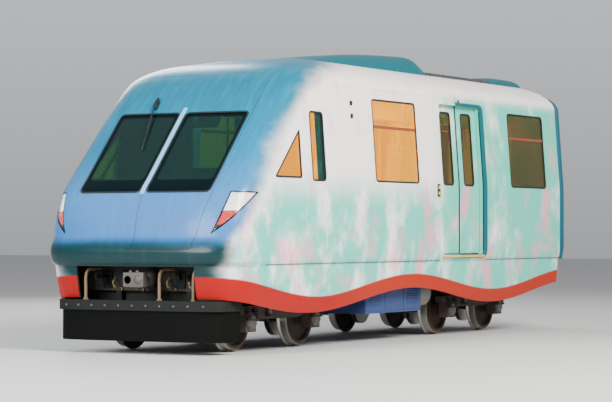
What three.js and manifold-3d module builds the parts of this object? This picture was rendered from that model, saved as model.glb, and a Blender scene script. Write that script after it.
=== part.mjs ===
// Leading car of a light people-mover train: a raked driving nose, a two-leaf sliding door on each side,
// two bogies with two wheelsets each, and half of the gangway to the next car.
// Millimetres. X runs forward to the nose, Y to the car's left, Z up from the wheel flange tips.
import * as THREE from "three";
import { mergeVertices } from "three/addons/utils/BufferGeometryUtils.js";
import Module from "manifold-3d";

const wasm = await Module();
wasm.setup();

// Body lengths along X
const NOSE_X = 5000;
const GANGWAY_END_X = -5000;
const BODY_END_X = -4760;
const JOIN_X = 2250;

// Body shell
const BODY_BOTTOM_Z = 1070;
const WAIST_Z = 2160;
const CANTRAIL_Z = 3378;
const HALF_WIDTH = 1430;
const LEAN = Math.tan((4.2 * Math.PI) / 180);
const ROOF_RISE = 450;
const WALL = 60;
const GAP = 0.4;
const SEAT_GAP = 0.5;
const CORNER_DEPTH = 850;
const CORNER_POWER = 5;
const CORNER_STEPS = 18;
const FAR = 9000;

// Floor and underframe
const FLOOR_Z = 1180;
const FLOOR_THICK = 90;
const BOLSTER_Z = 900;

// Openings in the shell, each { x: [rear, front], z: [bottom, top] }
const SALOON_WINDOWS = [
  { name: "front", x: [70, 1320], z: [2160, 3248] },
  { name: "rear", x: [-4230, -2960], z: [2160, 3248] },
];
const CAB_WINDOW = { x: [2680, 3020], z: [2140, 3010] };
const CORNER_WINDOW = { rear: 3300, tip: 3940, z: [2170, 2765] };
const WINDSCREEN = { y: [45, 955], z: [1978, 2988] };
const DOORWAY = { x: [-1985, -655], z: [FLOOR_Z, 3290] };
const CORNER_RADIUS = 60;

// Door leaves, which run inside the wall
const LEAF_GAP = 8;
const LEAF_THICK = 34;
const LEAF_LAP = 30;
const LEAF_Z = [1187, 3300.5];
const LEAF_GLASS = { width: 320, z: [2160, 3180] };

// Wheels and bogies
const TREAD_R = 350;
const FLANGE_R = 378;
const AXLE_Z = FLANGE_R;
const AXLE_R = 65;
const JOURNAL_R = 60;
const WHEEL_SIDES = 20;
const BOGIE_X = { front: 3100, rear: -2500 };
const HALF_WHEELBASE = 800;
const JOURNAL_Y = 975;

// Nose profile on the centre line: height, and distance back from the nose tip
const PROFILE = [
  { z: 1070, back: 70 },
  { z: 1130, back: 14 },
  { z: 1230, back: 0 },
  { z: 1330, back: 26 },
  { z: 1400, back: 72 },
  { z: 1640, back: 130 },
  { z: 1978, back: 270 },
  { z: 2160, back: 436 },
  { z: 2988, back: 1190 },
  { z: 3248, back: 1440 },
  { z: 3378, back: 1590 },
  { z: 3472, back: 1720 },
  { z: 3568, back: 1890 },
  { z: 3655, back: 2150 },
  { z: 3728, back: 2600 },
  { z: 3782, back: 2950 },
  { z: 3815, back: 3350 },
  { z: 3826, back: 3650 },
];
const ROOF_ANGLES = [12, 25, 38, 51, 64, 76, 84];

// Materials: colour, roughness, metalness
const FINISHES = {
  nosePaint: [0x2fb4d2, 0.35, 0.0],
  bodyPaint: [0xdff0ea, 0.4, 0.0],
  roofPaint: [0xf0e6e4, 0.45, 0.0],
  skirtPaint: [0xf02818, 0.4, 0.0],
  tealPaint: [0x0c7c98, 0.45, 0.0],
  glass: [0x0e3b38, 0.08, 0.0],
  sunnyGlass: [0xd98a2b, 0.1, 0.0],
  lamp: [0xf2efe8, 0.15, 0.0],
  steel: [0x3a3c3e, 0.6, 0.6],
  darkSteel: [0x1c1d1f, 0.7, 0.4],
  wheelSteel: [0x5b5752, 0.45, 0.9],
  casePaint: [0x14315f, 0.5, 0.0],
  tankPaint: [0x8a8d8c, 0.5, 0.2],
  lining: [0xc9cac4, 0.6, 0.0],
  seatShell: [0x2f6f8c, 0.7, 0.0],
  seatCloth: [0x24476b, 0.9, 0.0],
  pole: [0xd8b63a, 0.35, 0.4],
};

// Turns a closed geometry into a solid that can be joined and cut.
function solidFrom(geometry) {
  const bare = geometry.clone();
  bare.deleteAttribute("normal");
  bare.deleteAttribute("uv");
  const merged = mergeVertices(bare, 1e-3);
  const mesh = new wasm.Mesh({
    numProp: 3,
    vertProperties: new Float32Array(merged.attributes.position.array),
    triVerts: new Uint32Array(merged.index.array),
  });
  return new wasm.Manifold(mesh);
}

function geometryFrom(solid) {
  const mesh = solid.getMesh();
  const geometry = new THREE.BufferGeometry();
  geometry.setAttribute("position", new THREE.BufferAttribute(mesh.vertProperties, 3));
  geometry.setIndex(new THREE.BufferAttribute(mesh.triVerts, 1));
  geometry.computeVertexNormals();
  return geometry;
}

function join(solids) {
  return solids.reduce((whole, solid) => whole.add(solid));
}

function box(x, y, z) {
  const geometry = new THREE.BoxGeometry(x[1] - x[0], y[1] - y[0], z[1] - z[0]);
  geometry.translate((x[0] + x[1]) / 2, (y[0] + y[1]) / 2, (z[0] + z[1]) / 2);
  return solidFrom(geometry);
}

// The same box on the left and on the right of the centre line.
function boxPair(x, y, z) {
  return box(x, y, z).add(box(x, [-y[1], -y[0]], z));
}

// Extrudes an outline drawn on the axes u and v, from one distance to another along u cross v.
function prism(outline, u, v, from, to) {
  const shape = new THREE.Shape(outline.map(([a, b]) => new THREE.Vector2(a, b)));
  const geometry = new THREE.ExtrudeGeometry(shape, { depth: to - from, bevelEnabled: false });
  geometry.translate(0, 0, from);
  const w = new THREE.Vector3().crossVectors(u, v);
  geometry.applyMatrix4(new THREE.Matrix4().makeBasis(u, v, w));
  return solidFrom(geometry);
}

const X_AXIS = new THREE.Vector3(1, 0, 0);
const Y_AXIS = new THREE.Vector3(0, 1, 0);
const Z_AXIS = new THREE.Vector3(0, 0, 1);

// An outline in X and Z, from the side, carried across the car between two Y values.
function acrossCar(outline, yFrom, yTo) {
  return prism(outline, X_AXIS, Z_AXIS, -yTo, -yFrom);
}

// An outline in Y and Z, from the front, carried along the car between two X values.
function alongCar(outline, xFrom, xTo) {
  return prism(outline, Y_AXIS, Z_AXIS, xFrom, xTo);
}

function upright(radius, centre, z, sides = 16) {
  const geometry = new THREE.CylinderGeometry(radius, radius, z[1] - z[0], sides);
  geometry.rotateX(Math.PI / 2);
  geometry.translate(centre[0], centre[1], (z[0] + z[1]) / 2);
  return solidFrom(geometry);
}

function crosswise(radius, centre, y, sides = 16) {
  const geometry = new THREE.CylinderGeometry(radius, radius, y[1] - y[0], sides);
  geometry.translate(centre[0], (y[0] + y[1]) / 2, centre[1]);
  return solidFrom(geometry);
}

function lengthwise(radius, centre, x, sides = 12) {
  const geometry = new THREE.CylinderGeometry(radius, radius, x[1] - x[0], sides);
  geometry.rotateZ(Math.PI / 2);
  geometry.translate((x[0] + x[1]) / 2, centre[0], centre[1]);
  return solidFrom(geometry);
}

function rectangle(a, b) {
  return [
    [a[0], b[0]],
    [a[1], b[0]],
    [a[1], b[1]],
    [a[0], b[1]],
  ];
}

// Rounds every corner of an outline that runs anticlockwise.
function rounded(outline, radius, steps = 3) {
  const points = [];
  outline.forEach((corner, i) => {
    const here = new THREE.Vector2(...corner);
    const before = new THREE.Vector2(...outline[(i + outline.length - 1) % outline.length]);
    const after = new THREE.Vector2(...outline[(i + 1) % outline.length]);
    const start = before.sub(here).setLength(radius).add(here);
    const end = after.sub(here).setLength(radius).add(here);
    const curve = new THREE.QuadraticBezierCurve(start, here, end);
    curve.getPoints(steps).forEach((p) => points.push([p.x, p.y]));
  });
  return points;
}

// Moves every edge of an anticlockwise outline outwards by a distance, or inwards if it is negative.
function grown(outline, distance) {
  const count = outline.length;
  const edgeNormal = (i) => {
    const a = outline[i % count];
    const b = outline[(i + 1) % count];
    return new THREE.Vector2(b[1] - a[1], a[0] - b[0]).normalize();
  };
  return outline.map(([a, b], i) => {
    const n1 = edgeNormal(i + count - 1);
    const n2 = edgeNormal(i);
    const scale = distance / (1 + n1.dot(n2));
    return [a + (n1.x + n2.x) * scale, b + (n1.y + n2.y) * scale];
  });
}

function between(points, keyIn, keyOut, value) {
  const last = points.length - 1;
  if (value <= points[0][keyIn]) return points[0][keyOut];
  if (value >= points[last][keyIn]) return points[last][keyOut];
  const i = points.findIndex((p) => p[keyIn] > value);
  const a = points[i - 1];
  const b = points[i];
  return a[keyOut] + ((b[keyOut] - a[keyOut]) * (value - a[keyIn])) / (b[keyIn] - a[keyIn]);
}

// The nose profile moved inwards along its own normals.
function profileAt(inset) {
  return PROFILE.map((p, i) => {
    const a = PROFILE[Math.max(i - 1, 0)];
    const b = PROFILE[Math.min(i + 1, PROFILE.length - 1)];
    const along = new THREE.Vector2(b.back - a.back, b.z - a.z).normalize();
    return { z: p.z - inset * along.x, x: NOSE_X - p.back - inset * along.y };
  });
}

const HALF_WIDTHS = [
  { z: BODY_BOTTOM_Z, y: HALF_WIDTH - 34 },
  { z: 1130, y: HALF_WIDTH - 8 },
  { z: 1230, y: HALF_WIDTH },
  { z: WAIST_Z, y: HALF_WIDTH },
  { z: CANTRAIL_Z, y: HALF_WIDTH - (CANTRAIL_Z - WAIST_Z) * LEAN },
];

function halfWidthAt(z, inset) {
  if (z <= CANTRAIL_Z) return between(HALF_WIDTHS, "z", "y", z) - inset;
  const share = (z - CANTRAIL_Z) / (ROOF_RISE - inset);
  const base = HALF_WIDTHS[HALF_WIDTHS.length - 1].y - inset;
  return base * Math.sqrt(Math.max(1 - share * share, 0));
}

// Heights of the body's horizontal sections: the profile's own below the cantrail, then the roof arch.
function sectionHeights(inset) {
  const lower = PROFILE.map((p) => p.z).filter((z) => z <= CANTRAIL_Z);
  const upper = ROOF_ANGLES.map(
    (degrees) => CANTRAIL_Z + (ROOF_RISE - inset) * Math.sin(THREE.MathUtils.degToRad(degrees)),
  );
  return [...lower, ...upper];
}

// One horizontal section: straight sides and a blunt rounded front.
function section(rear, tip, halfWidth, depth) {
  const ring = [[rear, -halfWidth]];
  for (let i = 0; i <= CORNER_STEPS; i += 1) {
    const angle = -Math.PI / 2 + (Math.PI * i) / CORNER_STEPS;
    const side = Math.sin(angle);
    const y = halfWidth * Math.sign(side) * Math.abs(side) ** (2 / CORNER_POWER);
    const reach = Math.max(Math.cos(angle), 0) ** (2 / CORNER_POWER);
    ring.push([tip - depth + depth * reach, y]);
  }
  ring.push([rear, halfWidth]);
  return ring;
}

// Stacks horizontal sections, each { z, ring }, into a closed solid.
function stack(sections) {
  const count = sections[0].ring.length;
  const positions = [];
  sections.forEach(({ z, ring }) => ring.forEach(([x, y]) => positions.push(x, y, z)));
  const index = [];
  for (let i = 0; i + 1 < sections.length; i += 1) {
    for (let j = 0; j < count; j += 1) {
      const a = i * count + j;
      const b = i * count + ((j + 1) % count);
      index.push(a, b, b + count, a, b + count, a + count);
    }
  }
  const top = (sections.length - 1) * count;
  for (let j = 1; j + 1 < count; j += 1) {
    index.push(0, j + 1, j);
    index.push(top, top + j, top + j + 1);
  }
  const geometry = new THREE.BufferGeometry();
  geometry.setAttribute("position", new THREE.Float32BufferAttribute(positions, 3));
  geometry.setIndex(index);
  return solidFrom(geometry);
}

// The whole body as a solid, every face moved inwards by the inset; its floor may go lower.
function bodySolid(inset, rear = BODY_END_X, bottom = BODY_BOTTOM_Z) {
  const profile = profileAt(inset);
  const sections = sectionHeights(inset).map((z) => {
    const tip = between(profile, "z", "x", z);
    const halfWidth = halfWidthAt(z, inset);
    return { z, ring: section(rear, tip, halfWidth, CORNER_DEPTH) };
  });
  if (bottom < BODY_BOTTOM_Z) sections.unshift({ z: bottom, ring: sections[0].ring });
  return stack(sections);
}

const outerBody = bodySolid(0);
const innerBody = bodySolid(WALL, BODY_END_X - 100, BODY_BOTTOM_Z - 100);
const fittedBody = bodySolid(WALL + GAP, BODY_END_X - 100, BODY_BOTTOM_Z - 100);
const shell = outerBody.subtract(innerBody);

// A skin between two depths below the outer surface of the body.
function skin(outside, inside) {
  const outer = bodySolid(outside, BODY_END_X - 200, BODY_BOTTOM_Z - 50);
  return outer.subtract(bodySolid(inside, BODY_END_X - 300, BODY_BOTTOM_Z - 150));
}

// Window outlines
function sideWindowOutline(window, change) {
  return grown(rounded(rectangle(window.x, window.z), CORNER_RADIUS), change);
}

function cornerWindowOutline(change) {
  const { rear, tip, z } = CORNER_WINDOW;
  const triangle = [
    [rear, z[0]],
    [tip, z[0]],
    [rear, z[1]],
  ];
  return grown(rounded(triangle, CORNER_RADIUS / 2), change);
}

function windscreenOutline(change) {
  return grown(rounded(rectangle(WINDSCREEN.y, WINDSCREEN.z), CORNER_RADIUS), change);
}

function mirrored(outline) {
  return outline.map(([a, b]) => [-a, b]).reverse();
}

// The headlamp wraps the front corner, so its outline is drawn across a diagonal of the plan.
const LAMP_ACROSS = new THREE.Vector3(-1, 1, 0).normalize();
const LAMP_OUTLINE = [
  [-2695, 1452],
  [-2447, 1640],
  [-2055, 1975],
  [-2425, 1985],
];

function lampPrism(change) {
  return prism(grown(rounded(LAMP_OUTLINE, 18, 2), change), LAMP_ACROSS, Z_AXIS, 2600, 6000);
}

function flipped(solid) {
  return solid.mirror([0, 1, 0]);
}

const leftHalf = box([-FAR, FAR], [0, FAR], [-FAR, FAR]);
const rightHalf = box([-FAR, FAR], [-FAR, 0], [-FAR, FAR]);

function sideCutters() {
  const outlines = [
    ...SALOON_WINDOWS.map((window) => sideWindowOutline(window, 0)),
    sideWindowOutline(CAB_WINDOW, 0),
    cornerWindowOutline(0),
    rounded(rectangle(DOORWAY.x, [FLOOR_Z - 12, DOORWAY.z[1]]), CORNER_RADIUS),
  ];
  return outlines.map((outline) => acrossCar(outline, -2000, 2000));
}

const cutters = [
  ...sideCutters(),
  alongCar(windscreenOutline(0), 3000, 6000),
  alongCar(mirrored(windscreenOutline(0)), 3000, 6000),
  lampPrism(0),
  flipped(lampPrism(0)),
];

const car = new THREE.Group();

function addNode(name, finish, solid, parent = car) {
  const [color, roughness, metalness] = FINISHES[finish];
  const material = new THREE.MeshStandardMaterial({ color, roughness, metalness });
  const mesh = new THREE.Mesh(geometryFrom(solid), material);
  mesh.name = name;
  parent.add(mesh);
}

// Body shell: nose, side walls, roof
const openShell = cutters.reduce((solid, cutter) => solid.subtract(cutter), shell);
const header = skin(WALL - 1, WALL + 55)
  .intersect(box([-2700, 60], [-FAR, FAR], [3301, 3352]))
  .intersect(bodySolid(10));
const saloonSide = box([-FAR, JOIN_X - GAP / 2], [-FAR, FAR], [0, CANTRAIL_Z - GAP / 2]);
const sideWalls = openShell.intersect(saloonSide).add(header);
addNode("nose_shell", "nosePaint", openShell.intersect(box([JOIN_X + GAP / 2, FAR], [-FAR, FAR], [0, FAR])));
addNode("side_wall_left", "bodyPaint", sideWalls.intersect(leftHalf));
addNode("side_wall_right", "bodyPaint", sideWalls.intersect(rightHalf));
addNode(
  "roof_shell",
  "roofPaint",
  openShell.intersect(box([-FAR, JOIN_X - GAP / 2], [-FAR, FAR], [CANTRAIL_Z + GAP / 2, FAR])),
);

// Rear end wall with the gangway opening
const GANGWAY = { y: 620, z: [FLOOR_Z, 3180] };
const endWallPlate = fittedBody.intersect(
  box([BODY_END_X, BODY_END_X + WALL], [-FAR, FAR], [BODY_BOTTOM_Z, FAR]),
);
const passage = box([GANGWAY_END_X - 10, BODY_END_X + 200], [-GANGWAY.y, GANGWAY.y], GANGWAY.z);
addNode("rear_end_wall", "bodyPaint", endWallPlate.subtract(passage));

// Half of the gangway: an outer hood, a passage lining, and the face that meets the next car
const hoodEnd = BODY_END_X - GAP;
function gangwayTube(inset, xFrom, xTo) {
  return bodySolid(inset, xFrom).intersect(box([xFrom, xTo], [-FAR, FAR], [BODY_BOTTOM_Z, FAR]));
}
const hood = gangwayTube(35, GANGWAY_END_X, hoodEnd).subtract(
  bodySolid(95, GANGWAY_END_X - 10).intersect(
    box([GANGWAY_END_X + 25, FAR], [-FAR, FAR], [BODY_BOTTOM_Z + 60, FAR]),
  ),
);
const lining = box(
  [GANGWAY_END_X + 10, hoodEnd],
  [-GANGWAY.y - 30, GANGWAY.y + 30],
  [GANGWAY.z[0] - 30, GANGWAY.z[1] + 30],
);
addNode("gangway_hood", "tealPaint", hood.add(lining).subtract(passage));

// Glass, set a little below the outer surface
const glassSkin = skin(10, 28);
for (const window of SALOON_WINDOWS) {
  const pane = glassSkin.intersect(acrossCar(sideWindowOutline(window, -GAP), -2000, 2000));
  addNode(`window_${window.name}_left`, "sunnyGlass", pane.intersect(leftHalf));
  addNode(`window_${window.name}_right`, "sunnyGlass", pane.intersect(rightHalf));
}
const cabPane = glassSkin.intersect(acrossCar(sideWindowOutline(CAB_WINDOW, -GAP), -2000, 2000));
addNode("cab_window_left", "glass", cabPane.intersect(leftHalf));
addNode("cab_window_right", "glass", cabPane.intersect(rightHalf));
const cornerPane = glassSkin.intersect(acrossCar(cornerWindowOutline(-GAP), -2000, 2000));
addNode("corner_window_left", "sunnyGlass", cornerPane.intersect(leftHalf));
addNode("corner_window_right", "sunnyGlass", cornerPane.intersect(rightHalf));
const screen = glassSkin.intersect(alongCar(windscreenOutline(-GAP), 3000, 6000));
addNode("windscreen_left", "glass", screen);
addNode("windscreen_right", "glass", flipped(screen));

// Headlamps
const lamp = skin(3, WALL - 4).intersect(lampPrism(-GAP));
addNode("headlamp_left", "lamp", lamp);
addNode("headlamp_right", "lamp", flipped(lamp));

// Underframe: floor, sills, bolsters with pivot pins, headstock and coupler clevis
const SILL = { y: [1180, 1290], z: [930, 1100] };
const HEADSTOCK = { x: [4400, 4480], z: [760, 1100] };
const COUPLER_X = 4570;
const COUPLER_PIN_R = 28;
const PIVOT_R = 60;
const TAIL_X = BODY_END_X + WALL + GAP;
const floor = fittedBody.intersect(box([TAIL_X, FAR], [-FAR, FAR], [FLOOR_Z - FLOOR_THICK, FLOOR_Z]));
const frameParts = [
  floor,
  boxPair([TAIL_X, 4400], SILL.y, SILL.z),
  box(HEADSTOCK.x, [-1290, 1290], HEADSTOCK.z),
  box([TAIL_X, TAIL_X + 80], [-1290, 1290], SILL.z),
  box([-700, -620], [-1290, 1290], SILL.z),
  box([1180, 1260], [-1290, 1290], SILL.z),
  box([4470, COUPLER_X + 80], [-90, 90], [985, 1015]),
  box([4470, COUPLER_X + 80], [-90, 90], [795, 825]),
  upright(COUPLER_PIN_R, [COUPLER_X, 0], [800, 1010]),
];
for (const x of Object.values(BOGIE_X)) {
  frameParts.push(box([x - 300, x + 300], [-1200, 1200], [BOLSTER_Z, 1100]));
  frameParts.push(upright(150, [x, 0], [780, BOLSTER_Z + 10]));
  frameParts.push(upright(PIVOT_R, [x, 0], [600, 790]));
}
addNode("underframe", "darkSteel", join(frameParts));

// Skirts: a wave that dips over each bogie, with the coupler bay open at the front
const SKIRT_THICK = 30;
const SKIRT_LEVELS = [
  { z: 380, back: 250, y: HALF_WIDTH - 100 },
  { z: 700, back: 130, y: HALF_WIDTH - 62 },
  { z: 960, back: 84, y: HALF_WIDTH - 42 },
  { z: BODY_BOTTOM_Z - GAP, back: 74, y: HALF_WIDTH - 36 },
];
const BAY_HALF_WIDTH = 860;
const WAVE = { low: 2900, length: 5400, mean: 598, height: 130 };
function waveBottom(x) {
  return WAVE.mean - WAVE.height * Math.cos((2 * Math.PI * (x - WAVE.low)) / WAVE.length);
}
function skirtSolid(inset) {
  return stack(
    SKIRT_LEVELS.map((level, i) => {
      const drop = inset > 0 ? (i === 0 ? -50 : i === SKIRT_LEVELS.length - 1 ? 50 : 0) : 0;
      const ring = section(
        BODY_END_X - inset,
        NOSE_X - level.back - inset,
        level.y - inset,
        CORNER_DEPTH,
      );
      return { z: level.z + drop, ring };
    }),
  );
}
const waveOutline = [
  [NOSE_X + 100, BODY_BOTTOM_Z - GAP],
  [BODY_END_X, BODY_BOTTOM_Z - GAP],
];
const WAVE_STEPS = 40;
for (let i = 0; i <= WAVE_STEPS; i += 1) {
  const x = BODY_END_X + ((NOSE_X + 100 - BODY_END_X) * i) / WAVE_STEPS;
  waveOutline.push([x, waveBottom(x)]);
}
const skirtRing = skirtSolid(0)
  .subtract(skirtSolid(SKIRT_THICK))
  .intersect(acrossCar(waveOutline, -2000, 2000))
  .subtract(box([4000, FAR], [-BAY_HALF_WIDTH, BAY_HALF_WIDTH], [0, FAR]));
const skirtHangers = [-4300, -1600, -300, 900, 1900, 4200].map((x) =>
  boxPair([x, x + 60], [SILL.y[1] + GAP, 1372], [980, 1040]),
);
const skirts = join([skirtRing, ...skirtHangers]);
addNode("skirt_left", "skirtPaint", skirts.intersect(leftHalf));
addNode("skirt_right", "skirtPaint", skirts.intersect(rightHalf));

// Obstacle deflector: a curved blade under a shelf, hung from the headstock
const BLADE = { z: [158, 655], rear: 4380, tip: 4925, y: 1190, depth: 420, thick: 30 };
const SHELF = { z: [530, 655], thick: 190, out: 30 };
function bladeRing(z, out, thick) {
  const outer = section(BLADE.rear, BLADE.tip + out, BLADE.y + out, BLADE.depth);
  const inner = section(BLADE.rear - 10, BLADE.tip + out - thick, BLADE.y + out - thick, BLADE.depth);
  const solid = stack([
    { z: z[0], ring: outer },
    { z: z[1], ring: outer },
  ]);
  const hollow = stack([
    { z: z[0] - 10, ring: inner },
    { z: z[1] + 10, ring: inner },
  ]);
  return solid.subtract(hollow);
}
const deflector = join([
  bladeRing([BLADE.z[0], SHELF.z[1] - 10], 0, BLADE.thick),
  bladeRing(SHELF.z, SHELF.out, SHELF.thick),
  boxPair([HEADSTOCK.x[0], HEADSTOCK.x[1]], [480, 560], [560, HEADSTOCK.z[0] - GAP]),
  boxPair([HEADSTOCK.x[0], 4800], [480, 560], [560, 640]),
]);
addNode("obstacle_deflector", "steel", deflector);

// Coupler: a shank that swings on the clevis pin, and its head
const couplerHead = join([
  box([4830, 4960], [-150, 150], [810, 1000]),
  box([4790, 4840], [-90, 90], [850, 960]),
]);
const coupler = join([
  lengthwise(48, [0, 905], [COUPLER_X + 20, 4800]),
  upright(78, [COUPLER_X, 0], [825 + SEAT_GAP, 985 - SEAT_GAP]),
  couplerHead,
]).subtract(upright(COUPLER_PIN_R + 2, [COUPLER_X, 0], [700, 1100]));
addNode("coupler", "steel", coupler);

// Cab: bulkhead with a doorway, desk and driver's seat
const SEATED_Z = FLOOR_Z + GAP;
const BULKHEAD_X = [3060, 3100];
const bulkhead = fittedBody
  .intersect(box(BULKHEAD_X, [-FAR, FAR], [SEATED_Z, FAR]))
  .subtract(box([3000, 3200], [-330, 330], [FLOOR_Z - 10, 3150]));
addNode("cab_bulkhead", "lining", bulkhead);
const deskOutline = [
  [4580, SEATED_Z],
  [4580, 1930],
  [4300, 1990],
  [4040, 1900],
  [4040, 1850],
  [4130, 1820],
  [4130, SEATED_Z],
].reverse();
addNode("driver_desk", "darkSteel", acrossCar(deskOutline, -980, 980));
const driverSeat = join([
  box([3450, 3650], [-110, 110], [SEATED_Z, 1570]),
  box([3330, 3800], [-250, 250], [1560, 1680]),
  box([3270, 3370], [-240, 240], [1620, 2330]),
]);
addNode("driver_seat", "seatCloth", driverSeat);

// Saloon benches along the walls, clear of the doors' run
const BENCHES = [
  { name: "front", x: [40, 2200] },
  { name: "rear", x: [-4660, -2680] },
];
const benchOutline = [
  [860, SEATED_Z + 260],
  [940, SEATED_Z],
  [1355, SEATED_Z],
  [1355, 2090],
  [1290, 2090],
  [1250, 1640],
  [860, 1640],
];
for (const bench of BENCHES) {
  const solid = alongCar(benchOutline, bench.x[0], bench.x[1]);
  addNode(`bench_${bench.name}_left`, "seatShell", solid);
  addNode(`bench_${bench.name}_right`, "seatShell", flipped(solid));
}

// Grab rails: two ceiling rails joined across, and poles that stand on the floor
const RAIL_R = 18;
const RAIL_Y = 640;
const RAIL_Z = 3060;
const RAIL_X = [-4300, 1900];
const POLE_X = [-4100, -2650, 30, 1700];
const rails = join([
  lengthwise(RAIL_R, [RAIL_Y, RAIL_Z], RAIL_X, 8),
  lengthwise(RAIL_R, [-RAIL_Y, RAIL_Z], RAIL_X, 8),
  ...POLE_X.map((x) => crosswise(RAIL_R, [x, RAIL_Z], [-RAIL_Y, RAIL_Y], 8)),
  ...POLE_X.map((x) => upright(RAIL_R, [x, RAIL_Y], [SEATED_Z, RAIL_Z], 8)),
  ...POLE_X.map((x) => upright(RAIL_R, [x, -RAIL_Y], [SEATED_Z, RAIL_Z], 8)),
]);
addNode("grab_rails", "pole", rails);

// Roof fairings that sit on the roof skin, and the conduits behind the front one
const roofClear = bodySolid(-GAP, BODY_END_X - 300);
const frontFairing = acrossCar(
  [
    [1260, 3700],
    [1260, 3840],
    [900, 3905],
    [-50, 3990],
    [-1350, 4050],
    [-1460, 4035],
    [-1760, 3850],
    [-1760, 3700],
  ].reverse(),
  -900,
  900,
).intersect(
  alongCar(
    [
      [-700, 3600],
      [700, 3600],
      [650, 3900],
      [520, 4060],
      [-520, 4060],
      [-650, 3900],
    ],
    -FAR,
    FAR,
  ),
);
const conduits = [-560, 560].map((y) => lengthwise(30, [y, 3800], [-3980, -1700], 8));
addNode("roof_fairing_front", "tealPaint", join([frontFairing, ...conduits]).subtract(roofClear));
const rearFairing = acrossCar(
  [
    [-3990, 3700],
    [-3990, 3830],
    [-4300, 3915],
    [-4990, 3915],
    [-4990, 3700],
  ].reverse(),
  -700,
  700,
);
addNode("roof_fairing_rear", "tealPaint", rearFairing.subtract(roofClear));

// Underfloor equipment: cases hung between the bogies, and an air tank across the car
const CASE = { x: [-480, 1150], y: [420, 1180], z: [390, 800] };
const cases = join([
  boxPair(CASE.x, CASE.y, CASE.z),
  boxPair([CASE.x[0] + 150, CASE.x[0] + 230], [700, 780], [780, FLOOR_Z - FLOOR_THICK - GAP]),
  boxPair([CASE.x[1] - 230, CASE.x[1] - 150], [700, 780], [780, FLOOR_Z - FLOOR_THICK - GAP]),
  box([200, 300], [-500, 500], [600, 680]),
]);
addNode("equipment_cases", "casePaint", cases);
const TANK_X = -860;
const tank = join([
  crosswise(190, [TANK_X, 640], [-1100, 1100], 20),
  boxPair([TANK_X - 30, TANK_X + 30], [760, 820], [700, FLOOR_Z - FLOOR_THICK - GAP]),
]);
addNode("air_tank", "tankPaint", tank);

// Door leaves with their glass
const leafSkin = skin(WALL + LEAF_GAP, WALL + LEAF_GAP + LEAF_THICK);
const leafGlassSkin = skin(WALL + LEAF_GAP + 8, WALL + LEAF_GAP + LEAF_THICK - 8);
const doorMiddle = (DOORWAY.x[0] + DOORWAY.x[1]) / 2;
const LEAVES = [
  { name: "front", x: [doorMiddle + 3, DOORWAY.x[1] + LEAF_LAP] },
  { name: "rear", x: [DOORWAY.x[0] - LEAF_LAP, doorMiddle - 3] },
];
for (const leaf of LEAVES) {
  const middle = (leaf.x[0] + leaf.x[1]) / 2 + (leaf.name === "front" ? -15 : 15);
  const glassX = [middle - LEAF_GLASS.width / 2, middle + LEAF_GLASS.width / 2];
  const glassOutline = rounded(rectangle(glassX, LEAF_GLASS.z), CORNER_RADIUS);
  const panel = leafSkin
    .intersect(box(leaf.x, [-FAR, FAR], LEAF_Z))
    .subtract(acrossCar(glassOutline, -2000, 2000));
  const pane = leafGlassSkin.intersect(acrossCar(grown(glassOutline, -GAP), -2000, 2000));
  addNode(`door_${leaf.name}_left`, "bodyPaint", panel.intersect(leftHalf));
  addNode(`door_${leaf.name}_right`, "bodyPaint", panel.intersect(rightHalf));
  addNode(`door_glass_${leaf.name}_left`, "sunnyGlass", pane.intersect(leftHalf));
  addNode(`door_glass_${leaf.name}_right`, "sunnyGlass", pane.intersect(rightHalf));
}

// Bogie frame, drawn about its own pivot: side frames, axle boxes, transoms, motors and air springs
const SIDE_FRAME = [
  [-1040, 470],
  [-620, 470],
  [-420, 400],
  [420, 400],
  [620, 470],
  [1040, 470],
  [1040, 560],
  [620, 590],
  [-620, 590],
  [-1040, 560],
];
function bogieFrame() {
  const parts = [
    acrossCar(SIDE_FRAME, 910, 1020),
    acrossCar(SIDE_FRAME, -1020, -910),
    crosswise(72, [-180, 500], [-930, 930], 12),
    crosswise(72, [180, 500], [-930, 930], 12),
    box([-270, 270], [-240, 240], [430, 780 - SEAT_GAP]),
    boxPair([-150, 150], [900, 1030], [560, 640]),
    upright(190, [0, 960], [630, BOLSTER_Z - SEAT_GAP], 20),
    upright(190, [0, -960], [630, BOLSTER_Z - SEAT_GAP], 20),
    box([250, 600], [-330, 330], [430, 720]),
    box([-600, -250], [-330, 330], [430, 720]),
  ];
  for (const x of [-HALF_WHEELBASE, HALF_WHEELBASE]) {
    parts.push(boxPair([x - 120, x + 120], [JOURNAL_Y - 70, JOURNAL_Y + 75], [AXLE_Z - 125, 500]));
  }
  const bores = [-HALF_WHEELBASE, HALF_WHEELBASE].map((x) =>
    crosswise((JOURNAL_R + SEAT_GAP) / Math.cos(Math.PI / 20), [x, AXLE_Z], [-1300, 1300], 20),
  );
  return join(parts)
    .subtract(join(bores))
    .subtract(upright(PIVOT_R + 3, [0, 0], [400, 900], 20));
}

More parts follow.
